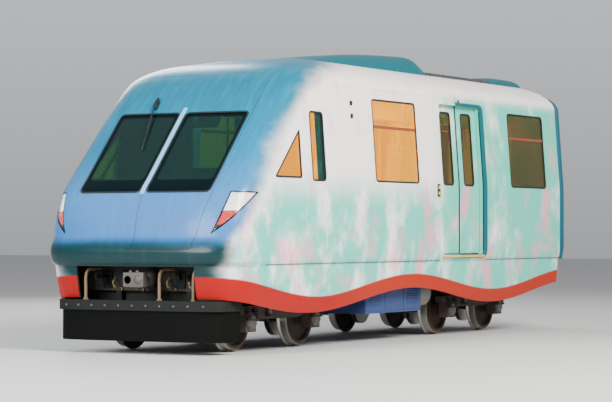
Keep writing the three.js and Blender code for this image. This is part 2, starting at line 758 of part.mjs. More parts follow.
// Wheelset: one turned profile, radius against distance along the axle
const HALF_PROFILE = [
  [AXLE_R, 655],
  [105, 665],
  [105, 690],
  [290, 705],
  [310, 682],
  [FLANGE_R - 8, 682],
  [FLANGE_R, 697],
  [FLANGE_R - 10, 710],
  [TREAD_R + 3, 722],
  [TREAD_R - 4, 815],
  [310, 818],
  [290, 760],
  [105, 770],
  [105, 850],
  [JOURNAL_R, 862],
  [JOURNAL_R, JOURNAL_Y + 60],
];
function wheelset() {
  const facetScale = 1 / Math.cos(Math.PI / WHEEL_SIDES);
  const profile = [
    [0, -JOURNAL_Y - 60],
    ...[...HALF_PROFILE].reverse().map(([r, y]) => [r, -y]),
    ...HALF_PROFILE,
    [0, JOURNAL_Y + 60],
  ];
  const points = profile.map(([r, y]) => {
    const radius = r > TREAD_R - 10 ? r * facetScale : r;
    return new THREE.Vector2(radius, y);
  });
  return solidFrom(new THREE.LatheGeometry(points, WHEEL_SIDES, Math.PI / WHEEL_SIDES));
}

for (const [name, x] of Object.entries(BOGIE_X)) {
  const bogie = new THREE.Group();
  bogie.position.x = x;
  car.add(bogie);
  addNode(`bogie_frame_${name}`, "darkSteel", bogieFrame(), bogie);
  for (const [end, along] of [
    ["leading", HALF_WHEELBASE],
    ["trailing", -HALF_WHEELBASE],
  ]) {
    const axle = new THREE.Group();
    axle.position.set(along, 0, AXLE_Z);
    bogie.add(axle);
    addNode(`wheelset_${name}_${end}`, "wheelSteel", wheelset(), axle);
  }
}

export default car;
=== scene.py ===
import math

import bmesh
import bpy
import numpy as np
from mathutils import Matrix, Vector


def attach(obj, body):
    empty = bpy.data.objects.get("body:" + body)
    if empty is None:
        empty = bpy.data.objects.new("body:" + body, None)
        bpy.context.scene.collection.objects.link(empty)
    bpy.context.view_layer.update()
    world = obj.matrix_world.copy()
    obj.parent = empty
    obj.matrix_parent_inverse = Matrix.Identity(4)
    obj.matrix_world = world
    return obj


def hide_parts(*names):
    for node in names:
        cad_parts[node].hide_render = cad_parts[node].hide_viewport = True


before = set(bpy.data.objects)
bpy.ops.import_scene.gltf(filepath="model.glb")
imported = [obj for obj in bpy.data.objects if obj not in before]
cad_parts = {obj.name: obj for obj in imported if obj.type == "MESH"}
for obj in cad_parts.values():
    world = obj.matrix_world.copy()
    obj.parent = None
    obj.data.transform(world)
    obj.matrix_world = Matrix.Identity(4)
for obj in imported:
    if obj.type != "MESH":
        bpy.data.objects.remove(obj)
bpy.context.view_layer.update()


# Studio
# The camera looks at the car from ahead of the nose and to the car's left, from 32 m off and 1.46 m
# above the treads of the wheels. A long lens lets the car fill the frame. Soft lamps stand all round.
def stand(name, data, spot, aim):
    """Puts a camera or a lamp in the scene, turned towards its aim."""
    thing = bpy.data.objects.new(name, data)
    bpy.context.collection.objects.link(thing)
    thing.location = spot
    thing.rotation_euler = (Vector(aim) - thing.location).to_track_quat("-Z", "Y").to_euler()
    return thing


camera = stand("camera", bpy.data.cameras.new("camera"), (27.58, 15.4, 1.483), (-0.15, -0.49, 1.93))
camera.data.sensor_width = 36
camera.data.lens = 132
camera.data.clip_end = 300
bpy.context.scene.camera = camera

LAMPS = [
    ("key_lamp", (9, 16, 13), (0.5, 0, 1.8), 9, 9600, (1.0, 0.965, 0.92)),
    ("front_lamp", (19, -3, 7), (3.5, 0, 1.9), 8, 3400, (0.92, 0.97, 1.0)),
    ("back_lamp", (-10, -13, 11), (-1, 0, 2.5), 8, 1900, (0.95, 0.97, 1.0))]
for name, spot, aim, size, watts, tint in LAMPS:
    light = bpy.data.lights.new(name, "AREA")
    light.shape = "DISK"
    light.size = size
    light.energy = watts
    light.color = tint
    stand(name, light, spot, aim)


def feed(tree, node, inputs):
    """Links a socket, or sets a value, at each named input of a node."""
    for key, value in inputs.items():
        if isinstance(value, bpy.types.NodeSocket):
            tree.links.new(value, node.inputs[key])
        else:
            node.inputs[key].default_value = value
    return node


def place(tree, kind, inputs=None, **settings):
    node = tree.nodes.new(kind)
    for key, value in settings.items():
        setattr(node, key, value)
    return feed(tree, node, inputs or {})


def blend_colour(tree, share, a, b):
    return place(tree, "ShaderNodeMix", {0: share, 6: a, 7: b}, data_type="RGBA").outputs[2]


def new_material(name, **sockets):
    material = bpy.data.materials.new(name)
    material.use_nodes = True
    shader = material.node_tree.nodes["Principled BSDF"]
    for label, value in sockets.items():
        shader.inputs[label.replace("_", " ")].default_value = value
    return material, material.node_tree, shader


def make_piece(points, faces):
    mesh = bpy.data.meshes.new("form")
    mesh.from_pydata([tuple(p) for p in points], [], [tuple(f) for f in faces])
    mesh.update()
    piece = bpy.data.objects.new("form", mesh)
    bpy.context.collection.objects.link(piece)
    return piece


bpy.context.scene.world = bpy.data.worlds.new("studio_air")
bpy.context.scene.world.use_nodes = True
air = bpy.context.scene.world.node_tree
ray = place(air, "ShaderNodeLightPath").outputs
way = place(air, "ShaderNodeTexCoord").outputs["Generated"]
height = place(air, "ShaderNodeSeparateXYZ", {0: way}).outputs[2]
seen_air = place(air, "ShaderNodeMapRange", {0: height, 1: -0.02, 2: 0.2, 3: 0.42, 4: 0.95}).outputs[0]
cast_light = place(air, "ShaderNodeMix", {0: ray["Is Transmission Ray"], 2: 0.5, 3: 1.3}).outputs[0]
air_light = place(air, "ShaderNodeMix", {0: ray["Is Camera Ray"], 2: cast_light, 3: seen_air}).outputs[0]
feed(air, air.nodes["Background"], {"Color": (0.93, 0.95, 1.0, 1), "Strength": air_light})

floor_cover, tree, shader = new_material("studio_floor", Roughness=0.75)
grain = place(tree, "ShaderNodeTexNoise", {"Scale": 0.6, "Detail": 6.0}).outputs["Fac"]
floor_tint = blend_colour(tree, grain, (0.52, 0.515, 0.505, 1), (0.58, 0.575, 0.57, 1))
feed(tree, shader, {"Base Color": floor_tint})
studio_floor = make_piece([(-90, -90, 0), (90, -90, 0), (90, 90, 0), (-90, 90, 0)], [(0, 1, 2, 3)])
studio_floor.name = "studio_floor"
studio_floor.data.materials.append(floor_cover)


# Body form
# The shell's outer surface: a raked nose with a bulging lip, blunt rounded corners, side walls that
# lean in above the waist and a barrel roof. Every skin panel, pane and lamp is cut from this form.
NOSE_X = 5.0
BODY_END_X = -4.76
JOIN_X = 2.25
BOTTOM_Z = 1.07
CANTRAIL_Z = 3.378
ROOF_RISE = 0.45
ROOF_TOP_Z = 3.828
CORNER_DEPTH = 0.85
WALL = 0.06
ACROSS = (-2, 2)
AHEAD = (3, 6)
NOSE_LINE = [
    (1.07, 0.07), (1.13, 0.014), (1.23, 0.0), (1.33, 0.026), (1.4, 0.072), (1.64, 0.13),
    (1.978, 0.27), (2.16, 0.436), (2.988, 1.19), (3.248, 1.44), (3.378, 1.59), (3.472, 1.72),
    (3.568, 1.89), (3.655, 2.15), (3.728, 2.6), (3.782, 2.95), (3.815, 3.35), (3.828, 3.75)]
SIDE_LINE = [(1.0, 1.37), (1.07, 1.396), (1.13, 1.422), (1.23, 1.43), (2.16, 1.43), (3.378, 1.3406)]
EAVES_Y = SIDE_LINE[-1][1]


def faired(stations, at):
    """A smooth curve through stations that doesn't overshoot them."""
    x, y = np.array(stations, float).T
    step = np.diff(x)
    rise = np.diff(y) / step
    slope = np.concatenate([[rise[0]], np.zeros(len(x) - 2), [rise[-1]]])
    for i in range(1, len(x) - 1):
        if rise[i - 1] * rise[i] > 0:
            a = 2 * step[i] + step[i - 1]
            b = step[i] + 2 * step[i - 1]
            slope[i] = (a + b) / (a / rise[i - 1] + b / rise[i])
    at = np.clip(np.asarray(at, float), x[0], x[-1])
    i = np.clip(np.searchsorted(x, at, side="right") - 1, 0, len(x) - 2)
    t = (at - x[i]) / step[i]
    return (y[i] * (2 * t**3 - 3 * t**2 + 1) + y[i + 1] * (3 * t**2 - 2 * t**3)
            + step[i] * (slope[i] * (t**3 - 2 * t**2 + t) + slope[i + 1] * (t**3 - t**2)))


def nose_x(z, inset=0.0):
    heights = np.linspace(BOTTOM_Z, ROOF_TOP_Z, 700)
    tips = NOSE_X - faired(NOSE_LINE, heights)
    if not inset:
        return np.interp(z, heights, tips)
    along = np.stack([np.gradient(tips), np.gradient(heights)])
    along /= np.linalg.norm(along, axis=0)
    moved_z = heights + inset * along[0]
    moved_x = tips - inset * along[1]
    order = np.argsort(moved_z)
    return np.interp(z, moved_z[order], moved_x[order])


def half_width(z, inset=0.0):
    z = np.asarray(z, float)
    side_z, side_y = np.array(SIDE_LINE).T
    spread = np.where(z > 1.4, 0.08, 0.015)
    wall = sum(np.interp(z + k * spread, side_z, side_y) for k in (-1, -0.5, 0, 0.5, 1)) / 5
    wall = np.where(z > 3.2, np.interp(z, side_z, side_y), wall) - inset
    share = np.clip((z - CANTRAIL_Z) / (ROOF_RISE - inset), 0, 1)
    return np.where(z <= CANTRAIL_Z, wall, (EAVES_Y - inset) * np.sqrt(1 - share**2))


def plan_ring(rear, tip, width, z, depth=CORNER_DEPTH, count=61):
    """The car's plan at one height: square behind, and blunt round its two front corners."""
    angle = np.linspace(-math.pi / 2, math.pi / 2, 4001)
    across = np.sign(np.sin(angle)) * np.abs(np.sin(angle)) ** 0.4
    ahead = np.clip(np.cos(angle), 0, 1) ** 0.4
    length = np.concatenate([[0], np.cumsum(np.hypot(np.diff(across), np.diff(ahead)))])
    even = np.linspace(0, length[-1], count)
    front = zip(np.interp(even, length, across), np.interp(even, length, ahead))
    return [(rear, -width, z), *((tip - depth * (1 - x), width * y, z) for y, x in front), (rear, width, z)]


def stack_rings(rings):
    """A closed form through rings that all have the same number of points."""
    count = len(rings[0])
    faces = []
    for i in range(len(rings) - 1):
        for j in range(count):
            k = (j + 1) % count
            faces.append((i * count + j, i * count + k, (i + 1) * count + k, (i + 1) * count + j))
    faces.append(tuple(reversed(range(count))))
    faces.append(tuple(range((len(rings) - 1) * count, len(rings) * count)))
    return make_piece([p for ring in rings for p in ring], faces)


def body_form(inset, rear=BODY_END_X, bottom=BOTTOM_Z):
    lip = np.arange(1.07, 1.41, 0.02)
    wall = np.arange(1.44, CANTRAIL_Z - 0.02, 0.05)
    arch = CANTRAIL_Z + (ROOF_RISE - inset) * np.sin(np.radians(np.arange(0, 88, 3.5)))
    rings = [plan_ring(rear, float(nose_x(z, inset)), float(half_width(z, inset)), z)
             for z in np.concatenate([lip, wall, arch])]
    if bottom < BOTTOM_Z:
        rings.insert(0, [(x, y, bottom) for x, y, z in rings[0]])
    return stack_rings(rings)


def body_level(points):
    """One on the body's surface, and less inside it."""
    x, y, z = points.T
    reach = np.clip((x - nose_x(z) + CORNER_DEPTH) / CORNER_DEPTH, 0, None)
    arch = np.hypot(y / EAVES_Y, np.clip(z - CANTRAIL_Z, 0, None) / ROOF_RISE)
    across = np.where((z > CANTRAIL_Z) & (reach <= 0), arch, np.abs(y) / half_width(z))
    return across**5 + reach**5


def shade_skin(piece):
    """Gives every face that follows the body form the form's own exact normals."""
    mesh = piece.data
    points = np.array([v.co for v in mesh.vertices])
    step = 2e-4
    slopes = np.stack([body_level(points + step * a) - body_level(points - step * a) for a in np.eye(3)], 1)
    slopes /= np.maximum(np.linalg.norm(slopes, axis=1, keepdims=True), 1e-12)
    normals = np.empty((len(mesh.loops), 3))
    for face in mesh.polygons:
        flat = np.array(face.normal)
        for loop in face.loop_indices:
            own = slopes[mesh.loops[loop].vertex_index]
            agree = float(own @ flat)
            normals[loop] = own * np.sign(agree) if abs(agree) > 0.93 else flat
    mesh.polygons.foreach_set("use_smooth", [True] * len(mesh.polygons))
    mesh.normals_split_custom_set(normals.tolist())


def clear_away(*forms):
    for form in forms:
        bpy.data.objects.remove(form)


def applied(piece):
    """Makes a piece's modifiers part of its mesh."""
    graph = bpy.context.evaluated_depsgraph_get()
    piece.data = bpy.data.meshes.new_from_object(piece.evaluated_get(graph))
    piece.modifiers.clear()
    return piece


def cut(piece, tool, operation="DIFFERENCE", keep=False):
    step = piece.modifiers.new("cut", "BOOLEAN")
    step.solver = "MANIFOLD"
    step.operation = operation
    step.object = tool
    mesh = applied(piece).data
    mesh.materials.clear()
    mesh.polygons.foreach_set("material_index", [0] * len(mesh.polygons))
    if not keep:
        clear_away(tool)
    return piece


def prism(outline, axis, low, high):
    """An outline carried along x, y or z; it is drawn in the other two, in the order x, y, z."""
    area = sum(a[0] * b[1] - a[1] * b[0] for a, b in zip(outline, outline[1:] + outline[:1]))
    if (area > 0) == (axis == "y"):
        outline = outline[::-1]
    slot = "xyz".index(axis)
    return stack_rings([[(*point[:slot], end, *point[slot:]) for point in outline] for end in (low, high)])


def block(x, y, z):
    return prism([(x[0], z[0]), (x[1], z[0]), (x[1], z[1]), (x[0], z[1])], "y", *y)


def span(middle, half):
    return middle - half, middle + half


def rounded(corners, radius, steps=8):
    points = []
    for i, corner in enumerate(corners):
        here = Vector(corner)
        start = here + (Vector(corners[i - 1]) - here).normalized() * radius
        end = here + (Vector(corners[(i + 1) % len(corners)]) - here).normalized() * radius
        for k in range(steps + 1):
            t = k / steps
            points.append(tuple(start * (1 - t) ** 2 + here * 2 * t * (1 - t) + end * t**2))
    return points


def rectangle(a, b, radius=0.06):
    return rounded([(a[0], b[0]), (a[1], b[0]), (a[1], b[1]), (a[0], b[1])], radius)


def grown(outline, distance):
    """An anticlockwise outline with every edge moved outwards."""
    moved = []
    for i, here in enumerate(outline):
        before = Vector(here) - Vector(outline[i - 1])
        after = Vector(outline[(i + 1) % len(outline)]) - Vector(here)
        first = Vector((before.y, -before.x)).normalized()
        second = Vector((after.y, -after.x)).normalized()
        moved.append(tuple(Vector(here) + (first + second) * (distance / (1 + first.dot(second)))))
    return moved


def mirrored(outline):
    return [(-a, b) for a, b in reversed(outline)]


def lamp_tool(outline, side):
    """A prism across the front corner: its outline runs along the plan's diagonal and up."""
    tool = prism(outline, "y", 2.6, 6.0)
    turn = math.sqrt(0.5)
    for point in tool.data.vertices:
        s, depth, z = point.co
        point.co = (turn * (depth - s), side * turn * (depth + s), z)
    if side > 0:
        tool.data.flip_normals()
    return tool


WAIST_Z = 2.16
WINDOW_TOP_Z = 3.248
SALOON_WINDOWS = {"front": rectangle((0.07, 1.32), (WAIST_Z, WINDOW_TOP_Z)),
                  "rear": rectangle((-4.23, -2.96), (WAIST_Z, WINDOW_TOP_Z))}
CAB_WINDOW = rectangle((2.68, 3.02), (2.14, 3.01))
CORNER_WINDOW = rounded([(3.3, 2.17), (3.94, 2.17), (3.3, 2.765)], 0.03)
WINDSCREEN = rectangle((0.045, 0.955), (1.978, 2.988))
DOORWAY_X = (-1.985, -0.655)
DOORWAY = rectangle(DOORWAY_X, (1.168, 3.29))
LAMP = rounded([(-2.695, 1.452), (-2.447, 1.64), (-2.055, 1.975), (-2.425, 1.985)], 0.018, 4)
body_shell = cut(body_form(0.0), body_form(WALL, BODY_END_X - 0.1, BOTTOM_Z - 0.1))
for outline in [*SALOON_WINDOWS.values(), CAB_WINDOW, CORNER_WINDOW, DOORWAY]:
    cut(body_shell, prism(outline, "y", *ACROSS))
for outline in (WINDSCREEN, mirrored(WINDSCREEN)):
    cut(body_shell, prism(outline, "x", *AHEAD))
for side in (1, -1):
    cut(body_shell, lamp_tool(LAMP, side))


# Paint on the shell
# Sprayed polyurethane over fairing compound: a teal lip, periwinkle up to the windscreens and cyan
# above, and a soft fade into white with mint and pink clouds along the sides. Rain leaves streaks.
def tone(red, green, blue):
    """A colour as a paint chart gives it, 0 to 255, in the renderer's linear light."""
    shares = [c / 255 for c in (red, green, blue)]
    return tuple(c / 12.92 if c <= 0.04 else ((c + 0.055) / 1.055) ** 2.4 for c in shares) + (1.0,)


def new_group(name, given, results):
    """A shader group: its inputs with their first values, and its outputs."""
    group = bpy.data.node_groups.new(name, "ShaderNodeTree")
    for label, value in given.items():
        kind = "NodeSocketColor" if isinstance(value, tuple) else "NodeSocketFloat"
        group.interface.new_socket(label, in_out="INPUT", socket_type=kind).default_value = value
    for label in results:
        kind = "NodeSocketColor" if label == "Colour" else "NodeSocketFloat"
        group.interface.new_socket(label, in_out="OUTPUT", socket_type=kind)
    return group, group.nodes.new("NodeGroupInput").outputs, group.nodes.new("NodeGroupOutput")


def maths(tree, operation, a, b=0.0, c=0.0, clamp=False):
    return place(tree, "ShaderNodeMath", {0: a, 1: b, 2: c}, operation=operation, use_clamp=clamp).outputs[0]


def scaled(tree, value, by, plus=0.0, clamp=False):
    return maths(tree, "MULTIPLY_ADD", value, by, plus, clamp)


def fade(tree, value, low, high):
    """A soft step from nought at one value to one at the other, which may be the lower of the two."""
    step = place(tree, "ShaderNodeMapRange", {0: value, 1: low, 2: high}, interpolation_type="SMOOTHSTEP")
    return step.outputs[0]


def own_place(tree):
    return place(tree, "ShaderNodeTexCoord").outputs["Object"]


def own_axes(tree):
    return place(tree, "ShaderNodeSeparateXYZ", {0: own_place(tree)}).outputs


def stretched_noise(tree, scale, detail, roughness=0.55, size=1.0):
    laid = place(tree, "ShaderNodeMapping", {0: own_place(tree), "Scale": scale}).outputs[0]
    return place(tree, "ShaderNodeTexNoise", {
        "Vector": laid, "Scale": size, "Detail": detail, "Roughness": roughness}).outputs["Fac"]


def ramp(tree, value, stops):
    node = place(tree, "ShaderNodeValToRGB", {0: value})
    elements = node.color_ramp.elements
    elements[0].position, elements[0].color = stops[0]
    elements[1].position, elements[1].color = stops[-1]
    for where, colour in stops[1:-1]:
        elements.new(where).color = colour
    return node.outputs[0]


weathering, given, result = new_group("weathering", {
    "Colour": (0.8, 0.8, 0.8, 1), "Roughness": 0.4, "Dirt Colour": (0.1, 0.08, 0.06, 1), "Dirt": 0.3,
    "Streaks": 0.2, "Dirt Height": 1.6}, ["Colour", "Roughness", "Height"])
tree = weathering
streaks = fade(tree, stretched_noise(tree, (9, 9, 0.45), 5.0, 0.6), 0.5, 0.78)
clouds = fade(tree, stretched_noise(tree, (1.7, 1.7, 2.2), 6.0, 0.65), 0.3, 0.72)
specks = stretched_noise(tree, (1, 1, 1), 4.0, 0.7, 85.0)
low_down = fade(tree, own_axes(tree)[2], given["Dirt Height"], 0.15)
grime = scaled(tree, scaled(tree, clouds, 0.65, 0.35), low_down)
grime = scaled(tree, streaks, given["Streaks"], scaled(tree, grime, given["Dirt"]))
flecks = scaled(tree, fade(tree, specks, 0.62, 0.75), given["Dirt"])
grime = scaled(tree, flecks, 0.35, grime, clamp=True)
rough = scaled(tree, grime, 0.35, given["Roughness"])
feed(tree, result, {
    "Colour": blend_colour(tree, grime, given["Colour"], given["Dirt Colour"]),
    "Roughness": scaled(tree, specks, 0.08, rough, clamp=True), "Height": scaled(tree, grime, 0.4, specks)})

livery, given, result = new_group("livery", {
    "White": tone(255, 250, 248), "Mint": tone(90, 206, 184), "Pink": tone(255, 148, 180),
    "Lip": tone(0, 46, 50)}, ["Colour"])
tree = livery
along, across, height = own_axes(tree)
share_up = scaled(tree, height, 1 / 3, -1 / 3, clamp=True)
FADE_LINE = [(1.05, 4.80), (1.25, 4.80), (1.42, 4.73), (1.85, 4.43), (2.2, 4.12), (2.84, 3.6), (3.27, 3.03),
             (3.55, 2.4), (3.71, 1.6), (3.83, 0.8)]
fade_x = ramp(tree, share_up, [((z - 1) / 3, (x / 6, x / 6, x / 6, 1)) for z, x in FADE_LINE])
wisps = stretched_noise(tree, (1.2, 1.2, 2.6), 5.0, 0.6)
reach = scaled(tree, fade(tree, height, 1.3, 2.6), 0.14, 0.09)
reach = scaled(tree, fade(tree, height, 3.2, 3.7), 0.35, reach)
sway = scaled(tree, maths(tree, "SUBTRACT", wisps, 0.5), reach)
ahead = scaled(tree, sway, 1.6, scaled(tree, fade_x, -6.0, along))
blue_share = fade(tree, ahead, scaled(tree, reach, -1.0), reach)
blue = ramp(tree, share_up, [
    (0.08, tone(0, 82, 114)), (0.14, tone(54, 108, 172)), (0.3, tone(64, 116, 174)), (0.5, tone(4, 110, 150)),
    (0.66, tone(0, 108, 138)), (0.8, tone(0, 100, 126)), (0.93, tone(0, 114, 140))])
brushed = fade(tree, stretched_noise(tree, (2.2, 14, 2.2), 3.0), 0.4, 0.75)
blue = blend_colour(tree, scaled(tree, brushed, 0.2), blue, tone(0, 156, 196))
blue = blend_colour(tree, fade(tree, scaled(tree, wisps, -0.08, height), 1.42, 1.24), blue, given["Lip"])
low_cloud = stretched_noise(tree, (1.6, 1.6, 1.1), 4.0, 0.6)
mint_low = scaled(tree, fade(tree, height, 2.35, 1.75), fade(tree, low_cloud, 0.36, 0.56))
mint_rear = scaled(tree, fade(tree, along, -0.35, -1.1), fade(tree, height, 3.5, 3.3))
mint_rear = scaled(tree, mint_rear, fade(tree, low_cloud, 0.22, 0.5))
side_colour = blend_colour(tree, maths(tree, "MAXIMUM", mint_low, mint_rear), given["White"], given["Mint"])
pink_cloud = fade(tree, stretched_noise(tree, (2.3, 2.3, 1.5), 4.0, 0.6), 0.5, 0.72)
pink_share = scaled(tree, pink_cloud, scaled(tree, fade(tree, height, 2.4, 1.9), 0.5, 0.35))
side_colour = blend_colour(tree, pink_share, side_colour, given["Pink"])
feed(tree, result, {"Colour": blend_colour(tree, blue_share, side_colour, blue)})


def weathered(name, colour, roughness, dirt=0.3, streaks=0.1, dirt_colour=tone(70, 60, 50), dirt_height=1.6,
              bump=0.15, **sockets):
    """A material whose colour, a value or a function of its tree, passes through the weathering group."""
    material, tree, shader = new_material(name, **sockets)
    worn = place(tree, "ShaderNodeGroup", {
        "Colour": colour(tree) if callable(colour) else colour, "Roughness": roughness,
        "Dirt Colour": dirt_colour, "Dirt": dirt, "Streaks": streaks, "Dirt Height": dirt_height},
        node_tree=weathering).outputs
    rise = place(tree, "ShaderNodeBump", {"Strength": bump, "Distance": 0.002, "Height": worn["Height"]})
    feed(tree, shader, {
        "Base Color": worn["Colour"], "Roughness": worn["Roughness"], "Normal": rise.outputs[0]})
    return material


def livery_colour(tree):
    return place(tree, "ShaderNodeGroup", node_tree=livery).outputs["Colour"]


body_paint = weathered("body_paint", livery_colour, 0.28, 0.14, 0.04, tone(150, 140, 126), 1.5, 0.04,
                       Specular_IOR_Level=0.22, Coat_Weight=0.1, Coat_Roughness=0.1)
cab_lining = weathered("cab_lining", tone(96, 98, 98), 0.7, 0.2, 0.0, Specular_IOR_Level=0.3)
wall_lining = weathered("wall_lining", tone(222, 222, 212), 0.55, 0.12, 0.0)


# Shell panels
# The nose is one glass-fibre moulding; the aluminium side walls and the roof meet it at a joint
# ahead of the front seats. Shallow sealed grooves mark the joints, the nose hatch and the roof seam.
def surface_band(outside, inside):
    """The layer of the body form between two depths below its surface."""
    band = body_form(outside, BODY_END_X - 0.2, BOTTOM_Z - 0.05)
    return cut(band, body_form(inside, BODY_END_X - 0.3, BOTTOM_Z - 0.15))


def copied(piece):
    twin = bpy.data.objects.new("copy", piece.data.copy())
    bpy.context.collection.objects.link(twin)
    return twin


def part_of(whole, tool):
    """A copy of what lies inside a tool."""
    return cut(copied(whole), tool, "INTERSECT")


def groove(path, axis, reach, width=0.006):
    """A shallow channel in the body surface, along a path drawn square to the axis."""
    for (a, b), (c, d) in zip(path, path[1:]):
        u, v = Vector((c - a, d - b)).normalized() * width / 2
        strip = [(a - u - v, b - v + u), (a - u + v, b - v - u),
                 (c + u + v, d + v - u), (c + u - v, d + v + u)]
        cut(body_shell, part_of(groove_layer, prism(strip, axis, *reach)))


groove_layer = surface_band(-0.012, 0.007)
groove([(JOIN_X, 1.0), (JOIN_X, 4.0)], "y", ACROSS, 0.008)
for x in (-2.46, -0.03):
    groove([(x, 1.0), (x, 3.37)], "y", ACROSS)
groove([(0.0, 1.28), (0.0, 1.978)], "x", AHEAD)
groove([(-0.08, 1.28), (0.84, 1.28), (0.985, 1.93), (1.0, 2.99), (0.985, 3.42)], "x", (2.6, 6))
groove([(-0.985, 1.93), (-1.0, 2.99), (-0.985, 3.42)], "x", (2.6, 6))
groove([(3.23, -1.2), (3.23, 1.2)], "z", (3.3, 3.9))
for x in (-3.6, -2.3, 0.4, 1.5):
    groove([(x, -1.3), (x, 1.3)], "z", (3.42, 3.9), 0.01)


def finish_piece(piece, name, material, slot, *nodes, body="car"):
    """A piece's name and material, the body that carries it and the CAD nodes that it replaces; the slot is
    not used.
    """
    piece.name = name
    piece.data.materials.append(material)
    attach(piece, body)
    if nodes:
        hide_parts(*nodes)


def finish_skin(piece, *named, **carried):
    """Finishes a piece that follows the body form."""
    shade_skin(piece)
    finish_piece(piece, *named, **carried)


PANEL_GAP = 0.0002
BEHIND_JOIN = (-5, JOIN_X - PANEL_GAP)
SHELL_PANELS = {
    "nose_shell": ((JOIN_X + PANEL_GAP, 6), ACROSS, (0, 5), "nose_paint"),
    "side_wall_left": (BEHIND_JOIN, (0, 2), (0, CANTRAIL_Z - PANEL_GAP), "body_paint"),
    "side_wall_right": (BEHIND_JOIN, (-2, 0), (0, CANTRAIL_Z - PANEL_GAP), "body_paint"),
    "roof_shell": (BEHIND_JOIN, ACROSS, (CANTRAIL_Z + PANEL_GAP, 5), "roof_paint")}
rail_band = surface_band(WALL - 0.001, WALL + 0.055)
header_rail = cut(rail_band, block((-2.7, 0.06), ACROSS, (3.301, 3.352)), "INTERSECT")
for name, (x, y, z, slot) in SHELL_PANELS.items():
    panel = part_of(body_shell, block(x, y, z))
    if slot == "body_paint":
        cut(panel, part_of(header_rail, block((-5, 5), y, (3, 4))), "UNION")
    finish_skin(panel, f"{name}_skin", body_paint, slot, name)
    panel.data.materials.append(cab_lining if slot == "nose_paint" else wall_lining)
    inner = body_level(np.array([v.co for v in panel.data.vertices])) < 0.86
    for face in panel.data.polygons:
        face.material_index = int(all(inner[i] for i in face.vertices))
clear_away(header_rail, body_shell, groove_layer)


# Side glazing
# Toughened panes sit 10 mm below the skin in black rubber gaskets. Their amber is painted sunset light:
# a glow in the front pane, the cab's front light and the corner triangle, and a darker, shaded amber in
# the rear and door panes. The saloon panes have a hopper bar a third of the way down; the cab has a
# narrow dark light and a corner triangle.
SIDES = {"left": (1, (0.0, 2.0)), "right": (-1, (-2.0, 0.0))}


def coloured_glass(name, tint, **sockets):
    """See-through glass, with a thin film of dust that thickens towards the foot."""
    material, tree, shader = new_material(name, IOR=1.4, **sockets)
    worn = place(tree, "ShaderNodeGroup", {
        "Colour": tint, "Dirt Colour": tone(150, 136, 110), "Dirt": 0.12, "Streaks": 0.05,
        "Dirt Height": 2.5}, node_tree=weathering).outputs
    film = fade(tree, worn["Height"], 0.55, 1.0)
    feed(tree, shader, {"Base Color": worn["Colour"], "Roughness": scaled(tree, film, 0.05, 0.004)})
    return material


# Painted sunset light: the amber colour and the amber glow of these panes stand in for the sunset lighting
# them.
amber_painted_glow_glass = coloured_glass("amber_painted_glow_glass", tone(255, 176, 0), Transmission_Weight=0.86,
                           Specular_IOR_Level=0.12, Emission_Color=tone(255, 174, 0), Emission_Strength=0.4)
# Painted shade: a darker copy of the amber glass, the same sunset amber dimmer in the rear and door panes.
amber_shade_glass = coloured_glass("amber_shade_glass", tone(112, 90, 28), Transmission_Weight=0.86,
                            Specular_IOR_Level=0.4)
dark_glass = coloured_glass("dark_glass", tone(26, 92, 88), Transmission_Weight=0.9, Specular_IOR_Level=0.25)
gasket_rubber = weathered("gasket_rubber", tone(30, 31, 33), 0.6, 0.3, 0.05, tone(90, 84, 74),
                          Specular_IOR_Level=0.35)
# The hopper bars' orange-red is a painted reflection of the sunset on their frames; the door lamps share this
# material.
bar_reflection_and_lamp_orange = weathered("bar_reflection_and_lamp_orange", tone(150, 74, 44), 0.4, 0.2, 0.05, Metallic=0.3)

pane_layer = surface_band(0.010, 0.028)
gasket_layer = surface_band(-0.003, 0.013)
bar_layer = surface_band(0.004, 0.032)
PANE_PLAY = -0.0004


def trimmed(layer, outline, reach, hole=None, axis="y"):
    """The part of a body layer inside an outline, less a hole."""
    piece = part_of(layer, prism(outline, axis, *reach))
    if hole:
        cut(piece, prism(hole, axis, reach[0] - 0.1, reach[1] + 0.1))
    return piece


SIDE_PANES = [
    ("window_front", SALOON_WINDOWS["front"], amber_painted_glow_glass, "side_glass", (0.0, 1.4)),
    ("window_rear", SALOON_WINDOWS["rear"], amber_shade_glass, "side_glass", (-4.3, -2.9)),
    ("cab_window", CAB_WINDOW, dark_glass, "dark_glass", None),
    ("corner_window", CORNER_WINDOW, amber_painted_glow_glass, "side_glass", None)]
for side, (sign, y) in SIDES.items():
    for window, outline, glass, slot, bar_x in SIDE_PANES:
        name = f"{window}_{side}"
        pane = trimmed(pane_layer, grown(outline, PANE_PLAY), y)
        if window == "cab_window":
            # The cab pane's front strip takes the amber glass, with its painted sunset glow.
            front_light = part_of(pane, block((2.875, 3.4), ACROSS, (1, 4)))
            cut(pane, block((2.8748, 3.4), ACROSS, (1, 4)))
            finish_skin(front_light, f"{name}_front_light", amber_painted_glow_glass, slot, name)
        finish_skin(pane, f"{name}_pane", glass, slot, name)
        gasket = trimmed(gasket_layer, grown(outline, 0.011), y, grown(outline, -0.013))
        finish_skin(gasket, f"{name}_gasket", gasket_rubber, "gangway_rubber")
        if bar_x:
            # The bar's orange-red colour is painted reflection.
            bar = trimmed(bar_layer, grown(outline, -0.013), y)
            cut(bar, block(bar_x, ACROSS, (2.868, 2.906)), "INTERSECT")
            finish_skin(bar, f"{name}_hopper_bar", bar_reflection_and_lamp_orange, "gangway_rubber")


